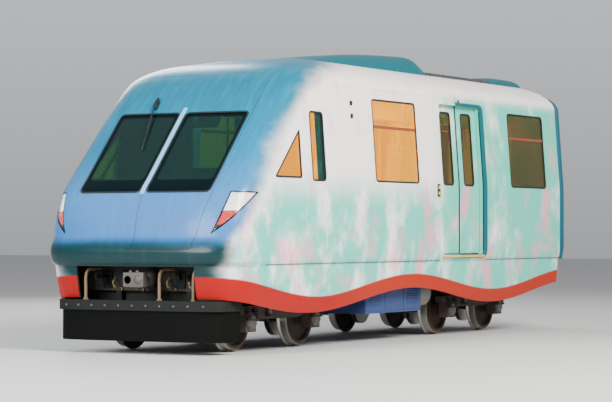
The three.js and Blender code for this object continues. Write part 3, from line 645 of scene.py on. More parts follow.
# Windscreens
# Two raked laminated panes either side of a painted post. A black enamel border hides the bonding,
# deeper along the foot, and a wiper hangs from a spindle above the right-hand pane.
black_enamel = weathered("black_enamel", tone(0, 16, 20), 0.14, 0.03, 0.0, tone(30, 40, 38), 2.4, 0.02,
                         Specular_IOR_Level=0.12)
enamel_layer = surface_band(0.0085, 0.0098)
post_layer = surface_band(-0.010, 0.001)
CLEAR_VIEW = rectangle((0.095, 0.905), (2.13, 2.935), 0.05)
WIPER_Y = -0.46
for side, (sign, y) in SIDES.items():
    outline, clear = (WINDSCREEN, CLEAR_VIEW) if sign > 0 else (mirrored(WINDSCREEN), mirrored(CLEAR_VIEW))
    name = f"windscreen_{side}"
    pane = trimmed(pane_layer, grown(outline, PANE_PLAY), AHEAD, axis="x")
    finish_skin(pane, f"{name}_pane", dark_glass, "dark_glass", name)
    border = trimmed(enamel_layer, grown(outline, -0.001), AHEAD, clear, "x")
    finish_skin(border, f"{name}_border", black_enamel, "dark_glass")
    gasket = trimmed(gasket_layer, grown(outline, 0.010), AHEAD, grown(outline, -0.010), "x")
    finish_skin(gasket, f"{name}_gasket", gasket_rubber, "gangway_rubber")
post = trimmed(post_layer, rectangle((-0.026, 0.026), (1.95, 3.06), 0.02), AHEAD, axis="x")
post_paint = weathered("post_paint", tone(128, 186, 226), 0.3, 0.1, 0.03, tone(150, 140, 126),
                       Coat_Weight=0.3)
finish_skin(post, "windscreen_post", post_paint, "nose_paint")


def circle(sides):
    return np.linspace(0, 2 * math.pi, sides, endpoint=False)


def smooth_by_angle(piece, degrees=32):
    piece.data.polygons.foreach_set("use_smooth", [True] * len(piece.data.polygons))
    piece.data.set_sharp_from_angle(angle=math.radians(degrees))
    return piece


def bevelled(piece, width, segments=2, degrees=35):
    step = piece.modifiers.new("rounded edges", "BEVEL")
    step.width = width
    step.segments = segments
    step.limit_method = "ANGLE"
    step.angle_limit = math.radians(degrees)
    return piece


def edged(piece, *bevel):
    """Rounds a piece's hard edges and smooths the rest."""
    return smooth_by_angle(bevelled(piece, *bevel), 40)


def tube(path, radius, sides=16):
    """A round bar along a path; a list gives a radius for each point."""
    rings = []
    path = [Vector(p) for p in path]
    up = Vector((0, 0, 1))
    for i, here in enumerate(path):
        run = (path[min(i + 1, len(path) - 1)] - path[max(i - 1, 0)]).normalized()
        if abs(run.dot(up)) > 0.95:
            up = Vector((1, 0, 0)) if abs(run.x) < 0.9 else Vector((0, 1, 0))
        across = run.cross(up).normalized()
        over = across.cross(run).normalized()
        size = radius[i] if isinstance(radius, list) else radius
        rings.append([here + size * (math.cos(a) * across + math.sin(a) * over) for a in circle(sides)])
    return smooth_by_angle(stack_rings(rings))


def assembled(name, forms, material, slot, *nodes, body="car", edge=(), angle=0):
    """Several loose forms made into one finished piece, with its edges rounded or its curves smoothed."""
    whole = bmesh.new()
    for form in forms:
        whole.from_mesh(form.data)
    clear_away(*forms)
    piece = make_piece([], [])
    whole.to_mesh(piece.data)
    whole.free()
    if edge:
        edged(piece, *edge)
    if angle:
        smooth_by_angle(piece, angle)
    finish_piece(piece, name, material, slot, *nodes, body=body)


def on_nose(y, z, proud=0.0):
    """The point of the nose surface at a height and a distance from the centre line."""
    share = min(abs(y) / float(half_width(z)), 1.0)
    reach = CORNER_DEPTH * (1 - (1 - share**5) ** 0.2)
    return Vector((float(nose_x(z)) - reach + proud * 0.74, y, z + proud * 0.67))


dark_fitting = weathered("dark_fitting", tone(26, 27, 30), 0.45, 0.35, 0.05, tone(86, 80, 70), Metallic=0.2)
assembled("wiper", [
    tube([on_nose(WIPER_Y, 3.06, -0.01), on_nose(WIPER_Y, 3.062, 0.05)], [0.034, 0.022]),
    prism([(3.66, 3.075), (3.80, 3.055), (3.74, 3.16), (3.69, 3.2)], "y", -0.475, -0.445),
    tube([on_nose(WIPER_Y, 3.06, 0.035), on_nose(-0.43, 2.9, 0.035), on_nose(-0.39, 2.74, 0.03)],
         [0.011, 0.009, 0.006], 8),
    tube([on_nose(-0.44, 2.93, 0.018), on_nose(-0.39, 2.74, 0.016), on_nose(-0.33, 2.5, 0.016)], 0.008, 8)],
    dark_fitting, "frame_steel", edge=(0.003,))


# Headlamps
# Each corner lamp is one teardrop housing behind a clear cover that follows the skin: a white
# headlight in the upper part, a red tail light below it and a black foot, in a black surround.
clear_cover = weathered("clear_cover", tone(250, 252, 253), 0.0, 0.03, 0.0, Transmission_Weight=0.98, IOR=1.3,
                        Specular_IOR_Level=0.4)
white_lens = weathered("white_lens", tone(250, 240, 238), 0.2, 0.05, 0.0, Emission_Strength=1.1,
                       Emission_Color=(1.0, 0.93, 0.9, 1), Coat_Weight=0.3)
red_lens = weathered("red_lens", tone(186, 12, 8), 0.2, 0.05, 0.0, Emission_Strength=0.6,
                     Emission_Color=(1.0, 0.02, 0.01, 1), Specular_IOR_Level=0.3)


def fluted(material, scale):
    """Gives a lamp lens the moulded ribs behind its face."""
    tree = material.node_tree
    ribs = place(tree, "ShaderNodeTexWave", {"Vector": own_place(tree), "Scale": scale}, bands_direction="Z")
    bump = place(tree, "ShaderNodeBump", {"Strength": 0.5, "Distance": 0.004, "Height": ribs.outputs["Fac"]})
    feed(tree, tree.nodes["Principled BSDF"], {"Normal": bump.outputs[0]})


fluted(white_lens, 9.0)
fluted(red_lens, 14.0)
LENSES = [("white", (1.745, 2.2), white_lens), ("red", (1.575, 1.741), red_lens),
          ("foot", (1.3, 1.571), black_enamel)]
cover_layer = surface_band(0.003, 0.007)
bezel_layer = surface_band(0.002, 0.05)
lens_layer = surface_band(0.014, 0.046)
for side, (sign, y) in SIDES.items():
    cover = part_of(cover_layer, lamp_tool(grown(LAMP, -0.001), sign))
    finish_skin(cover, f"lamp_cover_{side}", clear_cover, "lamp_cover", f"headlamp_{side}")
    bezel = part_of(bezel_layer, lamp_tool(grown(LAMP, 0.004), sign))
    cut(bezel, lamp_tool(grown(LAMP, -0.014), sign))
    finish_skin(bezel, f"lamp_bezel_{side}", black_enamel, "lamp_cover")
    for lens, z, material in LENSES:
        piece = part_of(lens_layer, lamp_tool(grown(LAMP, -0.015), sign))
        cut(piece, block(AHEAD, ACROSS, z), "INTERSECT")
        finish_skin(piece, f"lamp_{lens}_{side}", material, "lamp_cover")


# Sliding doors
# Two painted aluminium leaves a side run inside the wall on a header rail, each with a tall pane, a
# rubber meeting edge and a pressed foot. Buttons, lamps and a step go with them, and a teal band on the
# rear jamb and header is painted shadow.
LEAF_Z = (1.187, 3.3005)
LEAVES = {"front": ((-1.317, -0.625), (-1.146, -0.826), (-1.317, -1.302)),
          "rear": ((-2.015, -1.323), (-1.814, -1.494), (-1.338, -1.323))}
SURROUND_X = (-2.105, -0.61)
LEAF_PANE_Z = (2.16, 3.18)
LEAF_PRESS_Z = (1.3, 2.03)
leaf_layer = surface_band(WALL + 0.008, WALL + 0.042)
leaf_pane_layer = surface_band(WALL + 0.016, WALL + 0.034)
leaf_trim_layer = surface_band(WALL + 0.0045, WALL + 0.013)
surround_layer = surface_band(-0.010, 0.012)
teal_paint = weathered("teal_paint", tone(0, 92, 104), 0.35, 0.25, 0.06, tone(50, 66, 68), 1.6, 0.06,
                       Specular_IOR_Level=0.22, Coat_Weight=0.08)
step_paint = weathered("step_paint", tone(222, 186, 96), 0.6, 0.5, 0.0, tone(80, 70, 56), 2.0, 0.3)


def outboard(sign, near, far):
    """A range across the car between two distances from its middle, on one side."""
    return sorted((sign * near, sign * far))


def stud(sign, x, z, wall_z, heights, radii, sides=24):
    """A turned button or lamp on the side wall; its heights are above the skin."""
    skin_y = float(half_width(wall_z))
    return tube([(x, sign * (skin_y + height), z) for height in heights], radii, sides)


for side, (sign, y) in SIDES.items():
    for leaf, (x, pane_x, edge_x) in LEAVES.items():
        body = f"door_{leaf}_{side}"
        opening = rectangle(pane_x, LEAF_PANE_Z)
        panel = part_of(leaf_layer, block(x, y, LEAF_Z))
        cut(panel, prism(opening, "y", *ACROSS))
        press = rectangle((pane_x[0] - 0.06, pane_x[1] + 0.06), LEAF_PRESS_Z, 0.04)
        cut(panel, trimmed(leaf_trim_layer, press, y, grown(press, -0.012)))
        finish_skin(panel, f"{body}_panel", body_paint, "body_paint", body, body=body)
        # The door pane takes the darker amber glass, painted shade.
        pane = trimmed(leaf_pane_layer, grown(opening, PANE_PLAY), y)
        finish_skin(pane, f"{body}_pane", amber_shade_glass, "side_glass", f"door_glass_{leaf}_{side}", body=body)
        gasket = trimmed(leaf_trim_layer, grown(opening, 0.014), y, grown(opening, -0.012))
        finish_skin(gasket, f"{body}_gasket", gasket_rubber, "gangway_rubber", body=body)
        edge = part_of(leaf_trim_layer, block(edge_x, y, (1.19, 3.298)))
        finish_skin(edge, f"{body}_meeting_edge", gasket_rubber, "gangway_rubber", body=body)
    # Painted shadow: this teal band on the rear jamb and the rear of the header stands for the shaded face of
    # the recessed doorway.
    jamb = trimmed(surround_layer, rectangle(SURROUND_X, (1.123, 3.335), 0.13), y, DOORWAY)
    cut(jamb, block((-1.2, 0), ACROSS, (0, 4)))
    finish_skin(jamb, f"door_jamb_shade_{side}", teal_paint, "teal_paint")
    surround = trimmed(surround_layer, grown(DOORWAY, 0.03), y, DOORWAY)
    cut(surround, block((-3, -1.2), ACROSS, (0, 4)))
    finish_skin(surround, f"door_surround_{side}", body_paint, "body_paint")
    button_plate = trimmed(surround_layer, rectangle((-0.57, -0.49), (1.98, 2.16), 0.02), y)
    finish_skin(button_plate, f"door_button_plate_{side}", gasket_rubber, "gangway_rubber")
    buttons = [stud(sign, -0.53, z, 2.07, (0, 0.013, 0.017), [0.026, 0.026, 0.02]) for z in (2.03, 2.11)]
    assembled(f"door_buttons_{side}", buttons, step_paint, "side_glass")
    door_lamp = stud(sign, -1.32, 3.345, 3.34, (-0.004, 0.012, 0.016), [0.028, 0.028, 0.018])
    finish_piece(door_lamp, f"door_lamp_{side}", bar_reflection_and_lamp_orange, "side_glass")
    markers = [stud(sign, 1.9, z, z, (-0.004, 0.01, 0.014), [0.034, 0.034, 0.024], 28) for z in (3.0, 3.17)]
    assembled(f"side_marker_lamps_{side}", markers, gasket_rubber, "gangway_rubber")
    tread = block(DOORWAY_X, outboard(sign, 1.385, 1.455), (1.128, 1.160))
    finish_piece(edged(tread, 0.006), f"door_step_{side}", step_paint, "frame_steel")


# Skirts
# Pressed panels hang under the shell and dip in a long wave over each bogie. They are body colour
# with a band of red along the wavy foot, and stop at a return edge either side of the coupler bay.
SKIRT_LEVELS = [(0.38, 0.25, 1.33), (0.7, 0.13, 1.368), (0.96, 0.084, 1.388), (1.0696, 0.074, 1.394)]
SKIRT_TOP_Z = 1.0696
WAVE_Z = 0.598
WAVE_DEPTH = 0.130
WAVE_LOW_X = 2.9
WAVE_LENGTH = 5.4


def wave_foot(x):
    return WAVE_Z - WAVE_DEPTH * math.cos(2 * math.pi * (x - WAVE_LOW_X) / WAVE_LENGTH)


def skirt_form(inset):
    height, rake, half = np.array(SKIRT_LEVELS).T
    low, high = (0.33, 1.12) if inset else (0.38, SKIRT_TOP_Z)
    return stack_rings([
        plan_ring(BODY_END_X - inset, NOSE_X - float(np.interp(z, height, rake)) - inset,
                  float(np.interp(z, height, half)) - inset, z) for z in np.linspace(low, high, 9)])


def skirt_colour(tree):
    """The livery, with a red band that follows the wavy foot."""
    along, across, height = own_axes(tree)
    turn = scaled(tree, along, 2 * math.pi / WAVE_LENGTH, -2 * math.pi * WAVE_LOW_X / WAVE_LENGTH)
    foot = scaled(tree, maths(tree, "COSINE", turn), -WAVE_DEPTH, WAVE_Z)
    limit = scaled(tree, fade(tree, along, 2.2, 4.4), 0.07, 0.19)
    above = maths(tree, "SUBTRACT", maths(tree, "SUBTRACT", height, foot), limit)
    red = blend_colour(tree, fade(tree, along, 2.6, 1.2), tone(160, 2, 1), tone(170, 34, 6))
    return blend_colour(tree, fade(tree, above, 0.012, -0.012), livery_colour(tree), red)


skirt_paint = weathered("skirt_paint", skirt_colour, 0.42, 0.25, 0.05, tone(110, 72, 58), 0.9, 0.05,
                        Specular_IOR_Level=0.25)
skirt_back = weathered("skirt_back", tone(30, 30, 32), 0.7, 0.5, 0.1, tone(84, 68, 52), 1.3, 0.3)
wave = [(x, wave_foot(x)) for x in np.linspace(BODY_END_X, 5.1, 130)]
skirt_ring = cut(skirt_form(0.0), skirt_form(0.03))
wave += [(5.1, SKIRT_TOP_Z), (BODY_END_X, SKIRT_TOP_Z)]
cut(skirt_ring, prism(wave, "y", *ACROSS), "INTERSECT")
cut(skirt_ring, block((4.0, 6), (-0.86, 0.86), (0, 3)))
for side, (sign, y) in SIDES.items():
    skirt = part_of(skirt_ring, block((-6, 6), y, (0, 3)))
    for x in (-4.3, -1.6, -0.3, 0.9, 1.9, 4.2):
        cut(skirt, block((x, x + 0.06), outboard(sign, 1.2904, 1.372), (0.98, 1.04)), "UNION")
    smooth_by_angle(skirt, 30)
    finish_piece(skirt, f"skirt_{side}_panel", skirt_paint, "skirt_paint", f"skirt_{side}")
    skirt.data.materials.append(skirt_back)
    for face in skirt.data.polygons:
        outward = Vector((0, sign, 0))
        if face.center.x > 3.6:
            outward = Vector((face.center.x - 3.4, face.center.y, 0)).normalized()
        face.material_index = int(face.normal.dot(outward) < -0.05)


# Sole strips and gutters
# Thin aluminium strips riveted to the skin: one covers the foot of the side wall above the skirt, and
# one along the edge of the roof keeps rain off the doors.
STRIP_REAR_X = -4.758
strip_layer = surface_band(-0.004, 0.004)
for side, (sign, y) in SIDES.items():
    sole = part_of(strip_layer, block((STRIP_REAR_X, 4.15), y, (1.084, 1.094)))
    cut(sole, block(SURROUND_X, ACROSS, (1.0, 1.3)))
    finish_skin(sole, f"sole_strip_{side}", teal_paint, "teal_paint")
    gutter = part_of(strip_layer, block((STRIP_REAR_X, 2.24), y, (3.383, 3.397)))
    finish_skin(gutter, f"rain_gutter_{side}", body_paint, "roof_paint")
clear_away(skirt_ring, pane_layer, gasket_layer, bar_layer, enamel_layer, post_layer, cover_layer,
           bezel_layer, lens_layer, leaf_layer, leaf_pane_layer, leaf_trim_layer, surround_layer, strip_layer)


# Gangway
# The end passage: folded teal rubber bellows between a steel mounting frame and the steel face frame
# that clamps to its like, round a tunnel lined with grey laminate. The end wall carries the frames.
def body_outline(inset, foot=BOTTOM_Z):
    """The car's cross-section as a closed loop of (y, z), from the left foot up and over."""
    arch = CANTRAIL_Z + (ROOF_RISE - inset) * np.sin(np.radians(np.arange(6, 90, 7)))
    half = [(float(half_width(z, inset)), z) for z in [*np.linspace(foot, CANTRAIL_Z, 15), *arch]]
    return half + [(-y, z) for y, z in reversed(half)]


def loft_shell(stations, thickness, foot=BOTTOM_Z):
    """A tube along x whose depth below the body surface changes from one station to the next."""
    loop = [[(x, y, z) for y, z in body_outline(inset, foot)] for x, inset in stations]
    loop += [[(x, y, z) for y, z in body_outline(inset + thickness, foot + thickness)]
             for x, inset in reversed(stations)]
    count = len(loop[0])
    faces = []
    for i in range(len(loop)):
        k = (i + 1) % len(loop)
        for j in range(count):
            m = (j + 1) % count
            faces.append((i * count + j, k * count + j, k * count + m, i * count + m))
    piece = make_piece([p for ring in loop for p in ring], faces)
    form = bmesh.new()
    form.from_mesh(piece.data)
    bmesh.ops.recalc_face_normals(form, faces=form.faces)
    form.to_mesh(piece.data)
    form.free()
    return smooth_by_angle(piece, 45)


def framed_tube(outline, hole, x):
    """A straight tube along x, between an outline and a hole."""
    return cut(prism(outline, "x", *x), prism(hole, "x", x[0] - 0.1, x[1] + 0.1))


bellows_rubber = weathered("bellows_rubber", tone(0, 80, 104), 0.55, 0.35, 0.15, tone(40, 60, 66), 2.4, 0.25,
                           Specular_IOR_Level=0.35)
folds = [(-4.955 + 0.19 * k / 60, 0.044 + 0.013 * math.cos(2 * math.pi * 5 * k / 60)) for k in range(61)]
finish_piece(loft_shell(folds, 0.035), "gangway_bellows", bellows_rubber, "teal_paint", "gangway_hood")
face_frame = loft_shell([(-5.0, 0.036), (-4.992, 0.031), (-4.962, 0.031), (-4.957, 0.036)], 0.064)
finish_piece(face_frame, "gangway_face_frame", teal_paint, "teal_paint")
mount_frame = loft_shell([(-4.763, 0.03), (-4.7605, 0.026)], 0.06)
finish_piece(mount_frame, "gangway_mount_frame", teal_paint, "teal_paint")

PASSAGE_Y = (-0.62, 0.62)
PASSAGE_Z = (1.18, 3.18)
tunnel = framed_tube(rectangle((-0.65, 0.65), (1.15, 3.21), 0.1), rectangle(PASSAGE_Y, PASSAGE_Z, 0.08),
                     (-4.99, -4.7604))
laminate = weathered("laminate", tone(186, 192, 190), 0.5, 0.25, 0.05, tone(100, 94, 84), 1.9, 0.1)
finish_piece(smooth_by_angle(tunnel), "gangway_tunnel", laminate, "lining")
curtain = framed_tube(body_outline(0.094)[::-1], rectangle((-0.645, 0.645), (1.155, 3.205), 0.09),
                      (-4.985, -4.975))
for k in range(4):
    inset = 0.12 + 0.085 * k
    fold_line = [(-4.9955, inset + 0.02), (-4.992, inset + 0.005), (-4.984, inset)]
    cut(curtain, loft_shell(fold_line, 0.05, 1.076 + 0.003 * k), "UNION")
finish_piece(smooth_by_angle(curtain, 50), "gangway_curtain", gasket_rubber, "gangway_rubber")
end_wall = framed_tube(body_outline(0.0604, 1.0705)[::-1], rectangle(PASSAGE_Y, PASSAGE_Z, 0.05),
                       (-4.7598, -4.7))
for y in (-1.0, 1.0):
    for z in (1.35, 1.9, 2.45):
        cut(end_wall, block((-4.7, -4.694), span(y, 0.26), (z, z + 0.42)), "UNION")
finish_piece(smooth_by_angle(end_wall), "rear_end_wall_panel", body_paint, "body_paint", "rear_end_wall")


# Roof equipment
# A long glass-fibre fairing that rises to a sharp rear end over the air-conditioning unit, cable
# conduits on saddles behind it, and a low fairing over the gangway joint. All are bolted down.
def loft_fairing(stations, base_z, power=4):
    """A crowned cover lofted along x: each station is (x, half-width, top height)."""
    rings = []
    for x, width, top in stations:
        ring = [(x, -width, base_z)]
        for k in range(29):
            share = math.cos(math.pi * k / 28)
            lift = max(1 - abs(share) ** power, 0.0) ** (1 / power)
            ring.append((x, -width * share * (1 - 0.12 * lift), base_z + 0.02 + (top - base_z - 0.02) * lift))
        rings.append([*ring, (x, width, base_z)])
    if stations[0][0] > stations[-1][0]:
        rings.reverse()
    return stack_rings(rings)


def seated(piece):
    """A roof fitting whose foot is cut to the roof that it stands on."""
    return cut(piece, roof_seat, keep=True)


def taper(x):
    """How far the front fairing's sides have drawn in at x, towards its nose."""
    return 0.12 * max(0.0, (x - 0.2) / 1.06) ** 2


roof_seat = body_form(-0.0004, BODY_END_X - 0.3)
FAIRING_HALF = 0.7
FAIRING_FOOT_Z = 3.66
CONDUIT_Z = 3.80
FRONT_LINE = [
    (1.262, 3.79), (1.24, 3.81), (1.1, 3.852), (0.9, 3.895), (0.45, 3.94), (-0.05, 3.985), (-0.7, 4.02),
    (-1.35, 4.045), (-1.42, 4.045), (-1.46, 4.03), (-1.6, 3.95), (-1.758, 3.83)]
REAR_LINE = [
    (-3.99, 3.80), (-4.02, 3.815), (-4.15, 3.86), (-4.3, 3.9), (-4.45, 3.913), (-4.93, 3.913),
    (-4.985, 3.905), (-4.992, 3.88)]
front_cover = [(x, FAIRING_HALF - taper(x), top) for x, top in FRONT_LINE]
front_fairing = seated(loft_fairing(front_cover, FAIRING_FOOT_Z))
cut(front_fairing, block((-1.9, -1.42), (-0.52, 0.52), (3.88, 3.965)))
finish_piece(smooth_by_angle(front_fairing, 28), "roof_fairing_front_cover", teal_paint, "teal_paint",
             "roof_fairing_front")
louvres = [block((-1.47 - 0.004 * k, -1.445 - 0.004 * k), (-0.5, 0.5), (3.888 + 0.016 * k, 3.894 + 0.016 * k))
           for k in range(5)]
assembled("fairing_louvres", louvres, dark_fitting, "frame_steel")
rear_cover = [(x, FAIRING_HALF, top) for x, top in REAR_LINE]
rear_fairing = seated(loft_fairing(rear_cover, FAIRING_FOOT_Z))
finish_piece(smooth_by_angle(rear_fairing, 28), "roof_fairing_rear_cover", teal_paint, "teal_paint",
             "roof_fairing_rear")
conduit_metal = weathered("conduit_metal", tone(88, 92, 96), 0.45, 0.4, 0.1, tone(60, 54, 48), 4.5, 0.2,
                          Metallic=0.6)
conduits = []
for y in (-0.56, 0.56):
    conduits.append(tube([(x, y, CONDUIT_Z) for x in (-1.70, -2.8, -3.98)], 0.03))
    for x in (-1.95, -2.4, -2.85, -3.3, -3.75):
        conduits.append(seated(block(span(x, 0.025), span(y, 0.06), (3.70, 3.822))))
assembled("roof_conduits", conduits, conduit_metal, "frame_steel", edge=(0.003,))
vents = [seated(loft_fairing([
    (x - 0.3, 0.24, 3.83), (x - 0.27, 0.26, 3.86), (x + 0.27, 0.26, 3.86), (x + 0.3, 0.24, 3.83)], 3.7, 6))
    for x in (-2.3, -3.4)]
assembled("roof_vents", vents, body_paint, "roof_paint", angle=30)
ring_bolts = []
for x in np.linspace(-1.55, 1.05, 9):
    for sign in (-1, 1):
        y = sign * (0.715 - taper(x))
        foot = CANTRAIL_Z + ROOF_RISE * math.sqrt(1 - (y / EAVES_Y) ** 2)
        ring_bolts.append(tube([(x, y, foot - 0.006), (x, y, foot + 0.01)], 0.014, 6))
assembled("fairing_bolts", ring_bolts, conduit_metal, "frame_steel")
clear_away(roof_seat)


# Obstacle deflector
# A rolled steel blade under a rounded shelf, hung from the headstock by two struts. The shelf is
# painted grey and scuffed. The blade has welded gussets behind and bolts along its head, and its
# near-black colour is painted shadow.
BLADE_REAR_X = 4.38
BLADE_TIP_X = 4.925
BLADE_HALF = 1.19
BLADE_CORNER = 0.42
HANGER_Y = (0.48, 0.56)


def blade_form(out, thick, low, high):
    """The blade's plan, moved outwards and then inwards by a thickness."""
    rear = BLADE_REAR_X - (0.01 if thick else 0)
    return stack_rings([
        plan_ring(rear, BLADE_TIP_X + out - thick, BLADE_HALF + out - thick, z, BLADE_CORNER, 81)
        for z in (low, high)])


grey_steel = weathered("grey_steel", tone(25, 30, 28), 0.5, 0.45, 0.2, tone(34, 29, 24), 1.6, 0.4,
                       Metallic=0.2, Specular_IOR_Level=0.2)
# Painted shadow: the blade's near-black colour stands for the shade it lies in.
shadow_black_steel = weathered("shadow_black_steel", tone(4, 6, 5), 0.62, 0.14, 0.04, tone(30, 26, 21), 1.3, 0.35,
                        Specular_IOR_Level=0.08)
blade = cut(blade_form(0.0, 0.0, 0.158, 0.645), blade_form(0.0, 0.03, 0.1, 0.7))
for y in (-0.9, -0.3, 0.3, 0.9):
    gusset = prism([(4.50, 0.2), (4.90, 0.2), (4.90, 0.52), (4.82, 0.52)], "y", *span(y, 0.008))
    cut(blade, cut(gusset, blade_form(0.0, 0.004, 0.1, 0.7), "INTERSECT"), "UNION")
finish_piece(smooth_by_angle(blade, 30), "deflector_blade", shadow_black_steel, "bare_steel", "obstacle_deflector")
shelf = cut(blade_form(0.03, 0.0, 0.53, 0.655), blade_form(0.03, 0.19, 0.5, 0.7))
for sign in (-1, 1):
    cut(shelf, block((4.40, 4.48), outboard(sign, *HANGER_Y), (0.56, 0.7596)), "UNION")
    cut(shelf, block((4.40, 4.8), outboard(sign, *HANGER_Y), (0.56, 0.64)), "UNION")
finish_piece(edged(shelf, 0.018, 4, 50), "deflector_shelf", grey_steel, "bare_steel")
bolts = []
for y in np.linspace(-1.0, 1.0, 11):
    x = BLADE_TIP_X + 0.03 - BLADE_CORNER * (1 - (1 - (abs(y) / (BLADE_HALF + 0.03)) ** 5) ** 0.2)
    bolts.append(tube([(x - 0.03, y, 0.592), (x + 0.012, y, 0.592)], 0.016, 6))
assembled("deflector_bolts", bolts, conduit_metal, "bare_steel")


# Coupler
# An automatic coupler: a cast head with a cone and a funnel on a forged shank, whose eye swings on
# the clevis pin under the headstock. Air couplings sit on top of the head.
COUPLER_Z = 0.905
PIN_X = 4.57
cast_steel = weathered("cast_steel", tone(104, 100, 96), 0.5, 0.5, 0.1, tone(70, 48, 32), 1.8, 0.5,
                       Metallic=0.7)


def draw_bar(y, stations):
    """A turned form along the coupler's line: each station is (x, radius)."""
    return tube([(x, y, COUPLER_Z) for x, radius in stations], [radius for x, radius in stations], 28)


head = block((4.83, 4.945), (-0.15, 0.15), (0.812, 0.998))
cut(head, draw_bar(-0.075, [(4.97, 0.068), (4.9, 0.05), (4.86, 0.02)]))
cut(head, block((4.79, 4.84), (-0.09, 0.09), (0.85, 0.96)), "UNION")
finish_piece(edged(head, 0.012, 3), "coupler_head", cast_steel, "bare_steel", "coupler", body="coupler")
eye = tube([(PIN_X, 0, 0.8255), (PIN_X, 0, 0.9845)], 0.078, 40)
cut(eye, tube([(PIN_X, 0, 0.7), (PIN_X, 0, 1.1)], 0.03, 32))
assembled("coupler_shank", [
    draw_bar(0.075, [(4.94, 0.06), (4.955, 0.045), (4.96, 0.02)]),
    draw_bar(0, [(4.6, 0.048), (4.62, 0.044), (4.74, 0.044), (4.8, 0.05)]), eye,
    draw_bar(0, [(4.775, 0.066), (4.79, 0.066)]),
    *(tube([(4.86, y, 1.0), (4.925, y, 1.0)], 0.022) for y in (-0.05, 0.05))],
    cast_steel, "bare_steel", body="coupler", edge=(0.003,))


# Underframe and floor
# A welded frame of sills, headstock, cross-members and bolsters under a steel floor, blacked with
# bitumen paint. Brake pipes and a cable tray run along it, and grey vinyl with flecks covers the floor.
FRAME_UNDER_Z = 1.0896
FLOOR_Z = 1.1806
under_black = weathered("under_black", tone(30, 30, 32), 0.68, 0.6, 0.2, tone(84, 68, 52), 1.5, 0.4,
                        Metallic=0.1)
pipe_steel = weathered("pipe_steel", tone(112, 112, 110), 0.4, 0.5, 0.1, tone(74, 58, 44), 1.5, 0.2,
                       Metallic=0.6)


def dress_node(node, material, width):
    """Keeps a CAD node: its own material, and its hard edges rounded."""
    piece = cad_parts[node]
    piece.data.materials.clear()
    piece.data.materials.append(material)
    piece.data.polygons.foreach_set("material_index", [0] * len(piece.data.polygons))
    bevelled(piece, width)


dress_node("underframe", under_black, 0.005)
PIPE_Z = 0.905
runs = [tube([(x, y, PIPE_Z) for x in (-4.6, -0.7, 1.2, 4.38)], 0.011, 10) for y in (1.13, 1.10, -1.13)]
for x in np.arange(-4.4, 4.3, 0.62):
    for y in (1.115, -1.13):
        runs.append(block(span(x, 0.012), span(y, 0.04), (0.89, 0.932)))
assembled("brake_pipes", runs, pipe_steel, "bare_steel")
tray = [block((-2.15, -0.72), y, (1.0, top)) for y, top in (
    ((-0.3, -0.12), 1.006), ((-0.3, -0.294), 1.05), ((-0.126, -0.12), 1.05))]
tray += [tube([(-2.14, y, 1.016), (-1.4, y, 1.018), (-0.73, y, 1.016)], 0.01, 8)
         for y in (-0.27, -0.245, -0.22, -0.19, -0.16)]
tray += [block((x, x + 0.03), (-0.3, -0.12), (1.05, FRAME_UNDER_Z)) for x in (-2.1, -1.45, -0.8)]
assembled("cable_tray", tray, under_black, "frame_steel")
pads = [block((x, x + 0.05), outboard(sign, 1.19, 1.28), (0.9, 0.9302))
        for sign in (-1, 1) for x in (-3.9, -1.55, 1.5, 3.85)]
assembled("lifting_pads", pads, pipe_steel, "bare_steel", edge=(0.004,))


def vinyl_colour(tree):
    chips = place(tree, "ShaderNodeTexVoronoi", {"Vector": own_place(tree), "Scale": 55.0})
    chip_share = fade(tree, chips.outputs["Distance"], 0.28, 0.2)
    return blend_colour(tree, chip_share, tone(92, 98, 104), tone(186, 190, 190))


vinyl = weathered("floor_vinyl", vinyl_colour, 0.6, 0.25, 0.0, tone(60, 56, 50), 3.0, 0.1)
floor_line = [(-4.699, -1.36), (4.0, -1.36), (4.58, -1.0), (4.58, 1.0), (4.0, 1.36), (-4.699, 1.36)]
floor_sheet = prism(floor_line, "z", 1.1801, 1.1803)
finish_piece(floor_sheet, "floor_covering", vinyl, "lining")


# Bogies
# Each bogie is a welded steel frame with tubular transoms and two motors. Air springs carry the
# bolster; axle boxes ride on coil springs, with dampers outside and a brake caliper by every wheel.
BOGIES = {"front": 3.1, "rear": -2.5}
WHEELBASE = 0.8
AXLE_Z = 0.378
SPRING_Y = 1.062
BOLT_CIRCLE = 0.092
AIR_SPRING_LINE = [
    (0.633, 0.15), (0.64, 0.195), (0.665, 0.212), (0.70, 0.218), (0.735, 0.205), (0.755, 0.196),
    (0.775, 0.205), (0.81, 0.218), (0.845, 0.212), (0.868, 0.195), (0.8725, 0.15)]
CAP_LINE = [(1.0495, 0.001), (1.0495, 0.105), (1.066, 0.105), (1.072, 0.085), (1.086, 0.08), (1.09, 0.04),
            (1.09, 0.001)]
bogie_paint = weathered("bogie_paint", tone(48, 50, 52), 0.6, 0.7, 0.15, tone(88, 66, 46), 1.1, 0.45,
                        Metallic=0.25)
spring_rubber = weathered("spring_rubber", tone(24, 24, 25), 0.75, 0.5, 0.0, tone(92, 80, 66), 1.2, 0.2)
spring_steel = weathered("spring_steel", tone(70, 72, 76), 0.45, 0.5, 0.0, tone(96, 62, 38), 1.0, 0.2,
                         Metallic=0.8)


def turned(profile, axle_x, axle_z, sides):
    """A turned form about an axle across the car: the profile is (distance along y, radius)."""
    rings = [[(axle_x + radius * math.sin(a), y, axle_z + radius * math.cos(a)) for a in circle(sides)]
             for y, radius in profile]
    if profile[0][0] > profile[-1][0]:
        rings.reverse()
    return stack_rings(rings)


def coil(x, y, radius, wire, low, high, turns):
    """A helical spring that stands upright."""
    steps = int(turns * 18)
    sweep = 2 * math.pi * turns
    return tube([(x + radius * math.cos(sweep * k / steps), y + radius * math.sin(sweep * k / steps),
                  low + (high - low) * k / steps) for k in range(steps + 1)], wire, 8)


